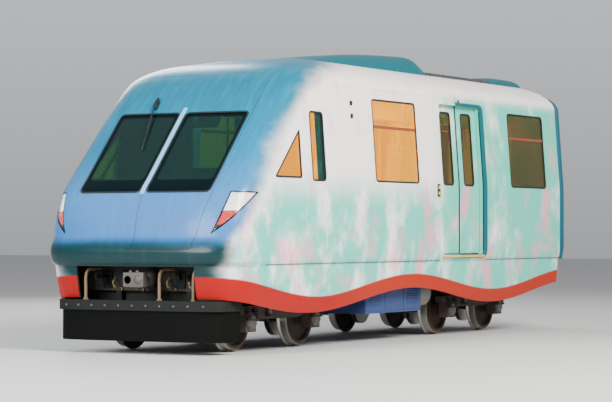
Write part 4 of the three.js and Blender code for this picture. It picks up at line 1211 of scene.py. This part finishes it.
for end, bogie_x in BOGIES.items():
    body = f"bogie_{end}"
    dress_node(f"bogie_frame_{end}", bogie_paint, 0.008)
    bags = [stack_rings([[(bogie_x + r * math.cos(a), y + r * math.sin(a), z) for a in circle(40)]
                         for z, r in AIR_SPRING_LINE]) for y in (-0.96, 0.96)]
    assembled(f"air_springs_{end}", bags, spring_rubber, "gangway_rubber", body=body, angle=60)
    fittings, covers, springs = [], [], []
    for sign in (-1, 1):
        for x in (bogie_x - WHEELBASE, bogie_x + WHEELBASE):
            covers.append(turned([(sign * y, radius) for y, radius in CAP_LINE], x, AXLE_Z, 32))
            for k in range(6):
                a = math.pi * k / 3 + 0.3
                bolt_x = x + BOLT_CIRCLE * math.cos(a)
                bolt_z = AXLE_Z + BOLT_CIRCLE * math.sin(a)
                covers.append(tube([(bolt_x, sign * y, bolt_z) for y in (1.062, 1.078)], 0.011, 6))
            for off in (-0.085, 0.085):
                springs.append(coil(x + off, sign * SPRING_Y, 0.034, 0.0085, 0.41, 0.56, 5.5))
            fittings.append(block(span(x, 0.13), outboard(sign, 1.02, 1.1), (0.56, 0.578)))
            fittings.append(block(span(x, 0.13), outboard(sign, 1.045, 1.1), (0.392, 0.41)))
        x, y = bogie_x + 0.36, sign * 1.055
        covers.append(tube([(x, y, 0.46), (x, y, 0.64)], 0.032, 20))
        covers.append(tube([(x, y, 0.64), (x, y, 0.78)], 0.014, 12))
        fittings.append(block(span(x, 0.045), outboard(sign, 1.018, 1.1), (0.43, 0.462)))
        for face in (-1, 1):
            caliper_x = sorted((bogie_x + face * 0.3, bogie_x + face * 0.3 + face * 0.13))
            fittings.append(block(caliper_x, outboard(sign, 0.62, 0.655), (0.43, 0.53)))
        fittings.append(tube([(bogie_x + off, sign * 0.93, z) for off, z in (
            (-1.0, 0.585), (-0.4, 0.615), (0.4, 0.615), (1.0, 0.585))], 0.01, 8))
    for face in (-1, 1):
        for k in range(6):
            x = bogie_x + face * (0.27 + 0.055 * k)
            fittings.append(block((x, x + 0.012), (-0.336, 0.336), (0.424, 0.726)))
    assembled(f"bogie_fittings_{end}", fittings, bogie_paint, "frame_steel", body=body, edge=(0.003,))
    assembled(f"axle_box_covers_{end}", covers, pipe_steel, "bare_steel", body=body, angle=40)
    assembled(f"coil_springs_{end}", springs, spring_steel, "bare_steel", body=body, angle=60)


# Wheelsets
# Pressed on a forged axle: two flanged steel wheels with dished webs. Running polishes the tread
# and the flange, while the web and the axle stay dull with brake dust and rust.
tread_steel = weathered("tread_steel", tone(168, 166, 162), 0.25, 0.25, 0.0, tone(96, 80, 64), 0.9, 0.1,
                        Metallic=0.95)
web_steel = weathered("web_steel", tone(58, 52, 47), 0.65, 0.55, 0.0, tone(78, 54, 38), 0.9, 0.4,
                      Metallic=0.4)
HALF_WHEEL = [
    (0.655, 0.065), (0.665, 0.105), (0.69, 0.105), (0.694, 0.14), (0.704, 0.21), (0.704, 0.285),
    (0.694, 0.305), (0.683, 0.315), (0.682, 0.366), (0.688, 0.3745), (0.697, 0.378), (0.706, 0.3745),
    (0.712, 0.364), (0.722, 0.3535), (0.77, 0.350), (0.812, 0.3465), (0.815, 0.343), (0.818, 0.312),
    (0.806, 0.303), (0.764, 0.29), (0.756, 0.2), (0.766, 0.14), (0.77, 0.108), (0.848, 0.105), (0.852, 0.10),
    (0.862, 0.062), (0.866, 0.06), (1.033, 0.06), (1.035, 0.056)]
WHEEL_LINE = [(-y, radius) for y, radius in reversed(HALF_WHEEL)] + HALF_WHEEL
DISC_LINE = [(-0.035, 0.10), (-0.035, 0.24), (-0.022, 0.24), (-0.02, 0.13), (0.02, 0.13), (0.022, 0.24),
             (0.035, 0.24), (0.035, 0.10)]
RIM_RADIUS = 0.342
for end, bogie_x in BOGIES.items():
    for axle, step in (("leading", WHEELBASE), ("trailing", -WHEELBASE)):
        name = f"wheelset_{end}_{axle}"
        axle_x = bogie_x + step
        wheels = smooth_by_angle(turned(WHEEL_LINE, axle_x, AXLE_Z, 80), 40)
        finish_piece(wheels, f"{name}_wheels", web_steel, "wheel_steel", name, body=name)
        wheels.data.materials.append(tread_steel)
        for face in wheels.data.polygons:
            corners = [wheels.data.vertices[i].co for i in face.vertices]
            inmost = min(math.hypot(corner.x - axle_x, corner.z - AXLE_Z) for corner in corners)
            face.material_index = int(inmost > RIM_RADIUS and len(corners) == 4)
        discs = [turned([(y + off, radius) for off, radius in DISC_LINE], axle_x, AXLE_Z, 48)
                 for y in (-0.45, 0.45)]
        assembled(f"{name}_brake_discs", discs, tread_steel, "wheel_steel", body=name, angle=35)


# Underfloor equipment
# Blue steel equipment cases hang between the bogies with louvred, latched doors, and a welded air
# tank with dished ends lies across the car in two straps.
case_paint = weathered("case_paint", tone(22, 58, 120), 0.45, 0.5, 0.15, tone(70, 62, 54), 1.1, 0.25,
                       Coat_Weight=0.15)
latch_metal = weathered("latch_metal", tone(160, 160, 158), 0.35, 0.4, 0.0, tone(80, 64, 50), 1.1, 0.1,
                        Metallic=0.8)
shells, latches = [], []
for sign in (-1, 1):
    shells.append(block((-0.48, 1.15), outboard(sign, 0.42, 1.168), (0.39, 0.8)))
    for x in (-0.33, 0.92):
        shells.append(block((x, x + 0.08), outboard(sign, 0.7, 0.78), (0.795, FRAME_UNDER_Z)))
    for door_x, louvred in ((-0.46, True), (0.085, False), (0.63, True)):
        door = rectangle((door_x, door_x + 0.50), (0.425, 0.765), 0.02)
        shells.append(prism(door, "y", *outboard(sign, 1.166, 1.1745)))
        for z in [0.5 + 0.032 * m for m in range(7)] if louvred else []:
            slat = prism([(0, 0), (0.009, 0.0), (0.0, 0.022)], "x", door_x + 0.09, door_x + 0.41)
            for point in slat.data.vertices:
                point.co.y = sign * (1.1735 + point.co.y)
                point.co.z += z
            if sign < 0:
                slat.data.flip_normals()
            shells.append(slat)
        for x in (door_x + 0.06, door_x + 0.41):
            latches.append(block((x, x + 0.03), outboard(sign, 1.174, 1.181), (0.735, 0.785)))
shells.append(block((0.2, 0.3), (-0.5, 0.5), (0.6, 0.68)))
assembled("equipment_case_shells", shells, case_paint, "case_paint", "equipment_cases", edge=(0.003,))
assembled("case_latches", latches, latch_metal, "bare_steel", edge=(0.002,))
TANK_X = -0.86
TANK_Z = 0.64
TANK_END = [(1.1, 0.002), (1.098, 0.05), (1.09, 0.1), (1.07, 0.145), (1.04, 0.176), (1.0, 0.19), (0.72, 0.19),
            (0.72, 0.1925), (0.71, 0.1925), (0.71, 0.19)]
STRAP_LINE = [(-0.03, 0.186), (-0.03, 0.197), (0.03, 0.197), (0.03, 0.186)]
tank_paint = weathered("tank_paint", tone(138, 142, 142), 0.45, 0.5, 0.1, tone(84, 68, 52), 1.2, 0.2,
                       Metallic=0.2)
tank = turned([(-y, radius) for y, radius in TANK_END] + TANK_END[::-1], TANK_X, TANK_Z, 56)
finish_piece(smooth_by_angle(tank, 50), "air_tank_vessel", tank_paint, "tank_paint", "air_tank")
straps = []
for y in (-0.79, 0.79):
    straps.append(turned([(y + off, radius) for off, radius in STRAP_LINE], TANK_X, TANK_Z, 48))
    straps.append(block(span(TANK_X, 0.03), span(y, 0.03), (0.83, FRAME_UNDER_Z)))
straps.append(tube([(TANK_X, 0.3, 0.455), (TANK_X, 0.3, 0.41)], 0.018, 10))
pipe_line = [(0.2, 0.82), (0.2, 0.93), (0.3, 1.0), (0.3, 1.085)]
straps.append(tube([(TANK_X, y, z) for y, z in pipe_line], 0.012, 8))
assembled("air_tank_straps", straps, under_black, "frame_steel", edge=(0.002,))


# Saloon fittings
# Yellow grab rails run on brackets from the ceiling with poles to the floor and hanging straps.
# Two luminous strips follow the ceiling, and a grey trim frames the cab doorway.
RAIL_Y = 0.64
RAIL_Z = 3.06
POLES = (-4.1, -2.65, 0.03, 1.7)
rail_yellow = weathered("rail_yellow", tone(222, 172, 30), 0.3, 0.15, 0.0, tone(120, 90, 40), 2.2, 0.05,
                        Coat_Weight=0.4)
strap_grey = weathered("strap_grey", tone(64, 66, 70), 0.6, 0.2, 0.0)
lamp_strip = weathered("lamp_strip", tone(250, 246, 236), 0.4, 0.0, 0.0, Emission_Color=(1.0, 0.93, 0.82, 1),
                       Emission_Strength=24.0)
rails, straps = [], []
for y in (-RAIL_Y, RAIL_Y):
    rails.append(tube([(x, y, RAIL_Z) for x in (-4.3, -4.29, 1.89, 1.9)], [0.012, 0.018, 0.018, 0.012], 20))
    for x in POLES:
        rails.append(tube([(x, y, FLOOR_Z), (x, y, RAIL_Z)], 0.0175, 20))
        rails.append(tube([(x, y, 1.1805), (x, y, 1.19), (x, y, 1.2)], [0.042, 0.042, 0.024], 20))
        rails.append(tube([(x - 0.035, y, RAIL_Z), (x + 0.035, y, RAIL_Z)], 0.024, 20))
    for x in (-3.4, -1.32, 0.9):
        rails.append(tube([(x, y, RAIL_Z), (x, y, 3.712)], 0.014))
        rails.append(tube([(x, y, 3.702), (x, y, 3.714)], [0.034, 0.04], 20))
    for x in np.arange(-3.85, 1.6, 0.46):
        if min(abs(x - pole) for pole in POLES) >= 0.12:
            straps.append(block(span(x, 0.014), (y - 0.022, y - 0.0185), (2.86, 3.07)))
            straps.append(block(span(x, 0.014), (y + 0.0185, y + 0.022), (2.86, 3.07)))
            straps.append(tube([(x, y + off, z) for off, z in (
                (-0.055, 2.74), (-0.03, 2.86), (0.03, 2.86), (0.055, 2.74), (-0.055, 2.74))], 0.008, 8))
rails += [tube([(x, -RAIL_Y, RAIL_Z), (x, RAIL_Y, RAIL_Z)], 0.0175, 20) for x in POLES]
assembled("grab_rail_set", rails, rail_yellow, "pole", "grab_rails", angle=40)
assembled("hanging_straps", straps, strap_grey, "pole")
CEILING_Z = (3.4, 3.8)
ceiling_layer = surface_band(WALL + 0.001, WALL + 0.032)
for name, y in (("left", (0.34, 0.46)), ("right", (-0.46, -0.34))):
    strip = smooth_by_angle(part_of(ceiling_layer, block((-4.6, 1.2), y, CEILING_Z)), 30)
    finish_piece(strip, f"ceiling_lamp_{name}", lamp_strip, "lining")
cab_lamp = part_of(ceiling_layer, block((2.3, 2.9), (-0.3, 0.3), CEILING_Z))
finish_piece(cab_lamp, "cab_ceiling_lamp", wall_lining, "lining")
clear_away(ceiling_layer)
dress_node("cab_bulkhead", laminate, 0.003)
trim = framed_tube(rectangle((-0.36, 0.36), (FLOOR_Z, 3.18), 0.04),
                   rectangle((-0.331, 0.331), (1.0, 3.151), 0.04), (3.052, 3.108))
finish_piece(smooth_by_angle(trim), "cab_door_trim", strap_grey, "lining")


# Saloon benches
# Moulded blue shells along each wall carry sewn moquette cushions on foam, one per place. A cushion
# is blown up as cloth so that it crowns and its sides pull in, then pressed flat where it is fixed.
bench_shell = weathered("bench_shell", tone(52, 104, 130), 0.5, 0.3, 0.05, tone(60, 56, 50), 1.9, 0.1)
weave, given, result = new_group("weave", {
    "Ground": (0.1, 0.1, 0.1, 1), "Fleck": (0.3, 0.3, 0.3, 1), "Pitch": 300.0, "Fleck Scale": 40.0},
    ["Colour", "Height"])
tree = weave
cloth_place = own_place(tree)
threads = {"Vector": cloth_place, "Scale": given["Pitch"], "Distortion": 0.6}
warp = place(tree, "ShaderNodeTexWave", threads, bands_direction="X").outputs["Fac"]
weft = place(tree, "ShaderNodeTexWave", threads, bands_direction="DIAGONAL").outputs["Fac"]
flecks = place(tree, "ShaderNodeTexVoronoi", {"Vector": cloth_place, "Scale": given["Fleck Scale"]})
fleck_share = fade(tree, flecks.outputs["Distance"], 0.3, 0.22)
worn = fade(tree, stretched_noise(tree, (1, 1, 1), 4.0, 0.6, 5.0), 0.35, 0.7)
cloth_colour = blend_colour(tree, fleck_share, given["Ground"], given["Fleck"])
feed(tree, result, {"Colour": blend_colour(tree, scaled(tree, worn, 0.3), cloth_colour, given["Fleck"]),
                    "Height": scaled(tree, warp, weft)})


def woven(name, ground, fleck, fleck_scale=40.0):
    material, tree, shader = new_material(name, Roughness=0.9, Sheen_Weight=0.3, Specular_IOR_Level=0.2)
    cloth = place(tree, "ShaderNodeGroup", {
        "Ground": ground, "Fleck": fleck, "Fleck Scale": fleck_scale}, node_tree=weave).outputs
    bump = place(tree, "ShaderNodeBump", {"Strength": 0.4, "Distance": 0.0015, "Height": cloth["Height"]})
    feed(tree, shader, {"Base Color": cloth["Colour"], "Normal": bump.outputs[0]})
    return material


def blown_cushion(length, depth, height, cap=0.014):
    """A cushion about its own middle, blown up by cloth pressure and flat on its underside."""
    outline = rectangle((-length / 2, length / 2), (-depth / 2, depth / 2), min(length, depth) * 0.12)
    cushion = prism(outline, "z", -height / 2, height / 2)
    step = cushion.modifiers.new("remesh", "REMESH")
    step.mode = "VOXEL"
    step.voxel_size = 0.011
    applied(cushion)
    start = np.array([v.co for v in cushion.data.vertices])
    cloth = cushion.modifiers.new("cloth", "CLOTH")
    cloth.settings.use_pressure = True
    cloth.settings.uniform_pressure_force = 3.5
    cloth.settings.effector_weights.gravity = 0
    cloth.settings.quality = 5
    cloth.settings.mass = 0.3
    for number in range(1, 21):
        bpy.context.scene.frame_set(number)
    blown = cushion.evaluated_get(bpy.context.evaluated_depsgraph_get())
    moved = np.array([v.co for v in blown.to_mesh().vertices]) - start
    blown.to_mesh_clear()
    cushion.modifiers.clear()
    bpy.context.scene.frame_set(1)
    size = np.linalg.norm(moved, axis=1, keepdims=True)
    moved *= np.minimum(1.0, cap / np.maximum(size, 1e-9))
    shape = start + moved
    shape[:, 2] = np.maximum(shape[:, 2], -height / 2)
    seam = np.exp(-(shape[:, 0] / 0.008) ** 2) + np.exp(-((np.abs(shape[:, 1]) - depth * 0.3) / 0.007) ** 2)
    shape[:, 2] -= np.where(start[:, 2] > 0, 0.006 * np.clip(seam, 0, 1), 0)
    cushion.data.vertices.foreach_set("co", shape.ravel())
    cushion.modifiers.new("thin", "DECIMATE").ratio = 0.55
    applied(cushion)
    cushion.data.polygons.foreach_set("use_smooth", [True] * len(cushion.data.polygons))
    return cushion


def lay_pad(source, name, material, spot, turn, size):
    """A copy of a cushion, turned and stretched, fixed to its seat."""
    pad = copied(source)
    pad.data.transform(Matrix.Translation(spot) @ turn @ Matrix.Diagonal((*size, 1)))
    finish_piece(pad, name, material, "bench")


moquette = woven("moquette", tone(26, 52, 92), tone(86, 168, 178))
seat_cushion = blown_cushion(0.47, 0.345, 0.06)
back_cushion = blown_cushion(0.47, 0.38, 0.04, 0.01)
BENCHES = {"front": (0.04, 2.2), "rear": (-4.66, -2.68)}
PLACES = 4
BACK_LEAN = math.atan2(0.04, 0.45)
BENCH_LINE = [(0.86, 1.44), (0.94, FLOOR_Z), (1.355, FLOOR_Z), (1.355, 2.09), (1.335, 2.09), (1.295, 1.6),
              (1.27, 1.572), (0.88, 1.572), (0.86, 1.56)]
for bench, x in BENCHES.items():
    for side, (sign, y) in SIDES.items():
        name = f"bench_{bench}_{side}"
        shell = prism(BENCH_LINE if sign > 0 else mirrored(BENCH_LINE), "x", *x)
        pitch = (x[1] - x[0]) / PLACES
        for k in range(1, PLACES):
            cut(shell, block(span(x[0] + pitch * k, 0.003), outboard(sign, 0.8, 0.868), (1.3, 1.55)))
        finish_piece(edged(shell, 0.008, 3), f"{name}_shell", bench_shell, "bench", name)
        lean = Matrix.Rotation(sign * (math.pi / 2 - BACK_LEAN), 4, "X")
        size = ((pitch - 0.02) / 0.484, 1, 1)
        for k in range(PLACES):
            middle = x[0] + pitch * (k + 0.5)
            lay_pad(seat_cushion, f"{name}_seat_{k + 1}", moquette, (middle, sign * 1.058, 1.604),
                    Matrix.Identity(4), size)
            lay_pad(back_cushion, f"{name}_back_{k + 1}", moquette, (middle, sign * 1.288, 1.865),
                    lean, size)


# Cab
# A dark moulded desk has a sloped panel of screens, dials and keys, and levers for drive and brake.
# The sprung seat has a padded cushion, back and headrest. Yellow rails follow the windscreen pillars.
desk_black = weathered("desk_black", tone(34, 36, 40), 0.55, 0.15, 0.0, tone(110, 104, 96), 3.0, 0.3)
screen_glow = weathered("screen_glow", tone(10, 44, 52), 0.15, 0.05, 0.0, Emission_Color=(0.1, 0.6, 0.7, 1),
                        Emission_Strength=0.6)
key_grey = weathered("key_grey", tone(150, 152, 156), 0.5, 0.1, 0.0)
PANEL_FOOT = Vector((4.04, 0, 1.90))
PANEL_HEAD = Vector((4.30, 0, 1.99))
panel_run = (PANEL_HEAD - PANEL_FOOT).normalized()
panel_up = Vector((-panel_run.z, 0, panel_run.x))
desk = prism([(4.04, 1.85), (4.13, 1.82), (4.13, FLOOR_Z), (4.58, FLOOR_Z), (4.58, 1.93), (4.30, 1.99),
              (4.04, 1.90)], "y", -0.98, 0.98)
cut(desk, block((4.0, 4.45), (-0.33, 0.33), (1.1, 1.78)))
finish_piece(edged(desk, 0.014, 3), "driver_desk_moulding", desk_black, "desk", "driver_desk")


def on_desk(along, y, lift):
    return PANEL_FOOT + panel_run * along + Vector((0, y, 0)) + panel_up * lift


def desk_plate(along, y, size, lift):
    """A flat plate lying on the sloped panel."""
    plate = block((-size[0] / 2, size[0] / 2), (-size[1] / 2, size[1] / 2), (0, lift))
    turn = Matrix((panel_run, (0, 1, 0), panel_up)).transposed().to_4x4()
    plate.data.transform(Matrix.Translation(on_desk(along, y, -0.001)) @ turn)
    return plate


screens = [desk_plate(0.17, y, (0.15, 0.21), 0.012) for y in (-0.36, 0.0, 0.36)]
assembled("desk_screens", screens, screen_glow, "desk", edge=(0.004,))
keys = [desk_plate(0.045, y, (0.02, 0.028), 0.01) for y in np.linspace(-0.86, 0.86, 27)]
keys += [desk_plate(along, y, (0.02, 0.05), 0.01)
         for y in (-0.62, -0.74, 0.62, 0.74) for along in (0.11, 0.15, 0.19, 0.23)]
assembled("desk_keys", keys, key_grey, "desk", edge=(0.002,))
levers = []
for y in (-0.5, 0.5):
    levers.append(tube([on_desk(0.1, y, -0.002), on_desk(0.085, y, 0.09)], 0.009, 12))
    levers.append(tube([on_desk(0.085, y + off, lift) for off, lift in (
        (-0.03, 0.095), (0, 0.1), (0.03, 0.095))], 0.016, 14))
for y in (-0.18, 0.18):
    levers.append(tube([on_desk(0.17, y, -0.002), on_desk(0.17, y, 0.016)], [0.042, 0.038], 28))
assembled("desk_levers", levers, desk_black, "desk", angle=40)
pedestal = [
    block((3.46, 3.64), (-0.105, 0.105), (FLOOR_Z, 1.23)), tube([(3.55, 0, 1.22), (3.55, 0, 1.52)], 0.06, 24),
    block((3.36, 3.76), (-0.2, 0.2), (1.5, 1.565)), block((3.275, 3.305), (-0.2, 0.2), (1.56, 2.3))]
for sign in (-1, 1):
    pedestal.append(block((3.32, 3.62), outboard(sign, 0.215, 0.248), (1.80, 1.832)))
    pedestal.append(block((3.32, 3.35), outboard(sign, 0.2, 0.235), (1.6, 1.82)))
assembled("driver_seat_frame", pedestal, desk_black, "frame_steel", "driver_seat", edge=(0.01, 3))
seat_cloth = woven("seat_cloth", tone(40, 42, 48), tone(70, 74, 84), 90.0)
facing = Matrix.Rotation(math.pi / 2, 4, "Z")
upright = facing @ Matrix.Rotation(-math.pi / 2, 4, "X")
for part, source, spot, turn, size in (
        ("cushion", seat_cushion, (3.565, 0, 1.60), facing, (0.9, 1.2, 1.1)),
        ("back", back_cushion, (3.33, 0, 1.86), upright, (0.9, 1.15, 1.2)),
        ("headrest", back_cushion, (3.33, 0, 2.22), upright, (0.55, 0.42, 1.2))):
    lay_pad(source, f"driver_seat_{part}", seat_cloth, spot, turn, size)
clear_away(seat_cushion, back_cushion)
pillar_rails = []
for y in (-0.86, 0.10):
    path = [on_nose(y + 0.01 * k, 2.16 + 0.14 * k) + Vector((-0.16, 0, -0.02)) for k in range(6)]
    path = [path[0] + Vector((0.06, 0, 0)), *path, path[-1] + Vector((0.06, 0, 0.02))]
    pillar_rails.append(tube(path, 0.018, 14))
for name, y in (("right", -0.62), ("left", 0.34)):
    visor = block((-0.006, 0.006), (-0.17, 0.17), (-0.17, 0))
    hinge = on_nose(y, 2.93) + Vector((-0.14, 0, 0))
    visor.data.transform(Matrix.Translation(hinge) @ Matrix.Rotation(math.radians(-34), 4, "Y"))
    finish_piece(edged(visor, 0.005), f"sun_visor_{name}", laminate, "lining")
assembled("pillar_rails", pillar_rails, rail_yellow, "pole", angle=50)


# Coupler bay
# Bolted to the headstock are brackets with horns and isolating cocks, and bent air pipes with unions.
# Three risers stand on the shelf, a rubber splash plate hangs behind, and all is dulled with dust.
HEADSTOCK_X = 4.478
bay_rubber = weathered("bay_rubber", tone(12, 14, 13), 0.6, 0.3, 0.0, tone(62, 54, 42), 1.6, 0.3,
                       Specular_IOR_Level=0.25)
dusty_pipe = weathered("dusty_pipe", tone(136, 112, 86), 0.65, 0.4, 0.1, tone(66, 52, 38), 1.6, 0.3,
                       Specular_IOR_Level=0.3)
BEND_LINE = [(HEADSTOCK_X, 0.90), (4.53, 0.90), (4.575, 0.885), (4.6, 0.85), (4.596, 0.812), (4.565, 0.788),
             (4.52, 0.78), (HEADSTOCK_X, 0.78)]
RISER_LINE = [(HEADSTOCK_X, 1.03), (4.70, 1.03), (4.765, 1.015), (4.80, 0.97), (4.81, 0.91), (4.81, 0.652)]
HORN_LINE = [(4.499, 0.03), (4.56, 0.022), (4.63, 0.028), (4.68, 0.046), (4.70, 0.062), (4.703, 0.06),
             (4.70, 0.056), (4.68, 0.04), (4.63, 0.021), (4.60, 0.016)]
brackets, pipes = [], []
for y in (-0.68, -0.4, 0.4, 0.68):
    brackets.append(block((4.4796, 4.50), span(y, 0.07), (0.80, 1.0)))
    for bolt_y in (y - 0.05, y + 0.05):
        for z in (0.82, 0.98):
            brackets.append(tube([(4.498, bolt_y, z), (4.512, bolt_y, z)], 0.011, 6))
for y in (-0.4, 0.4):
    brackets.append(tube([(4.5, y, 0.93), (4.56, y, 0.93)], 0.03, 18))
    brackets.append(block((4.53, 4.55), span(y, 0.012), (0.93, 1.02)))
for y in (-0.68, 0.68):
    brackets.append(stack_rings([
        [(x, y + radius * math.cos(a), 0.94 + radius * math.sin(a)) for a in circle(28)]
        for x, radius in HORN_LINE]))
for y in (-0.56, 0.56, 0.24, -0.24):
    pipes.append(tube([(x, y + 0.012 * k, z) for k, (x, z) in enumerate(BEND_LINE)], 0.015, 12))
    for union_y, z in ((y, 0.90), (y + 0.084, 0.78)):
        pipes.append(tube([(4.48, union_y, z), (4.505, union_y, z)], 0.024, 6))
for y in (-0.79, 0.3, 0.79):
    pipes.append(tube([(x, y, z) for x, z in RISER_LINE], 0.02, 14))
    pipes.append(tube([(4.81, y, 0.65), (4.81, y, 0.674)], 0.034, 6))
splash_plate = prism([(-1.12, 0.80), (-1.12, 0.50), (-1.0, 0.42), (1.0, 0.42), (1.12, 0.50), (1.12, 0.80)],
                     "x", 4.391, 4.4005)
finish_piece(edged(splash_plate, 0.003), "splash_plate", bay_rubber, "gangway_rubber")
assembled("coupler_bay_fittings", brackets, grey_steel, "bare_steel", edge=(0.003,))
assembled("coupler_bay_pipes", pipes, dusty_pipe, "frame_steel", angle=50)
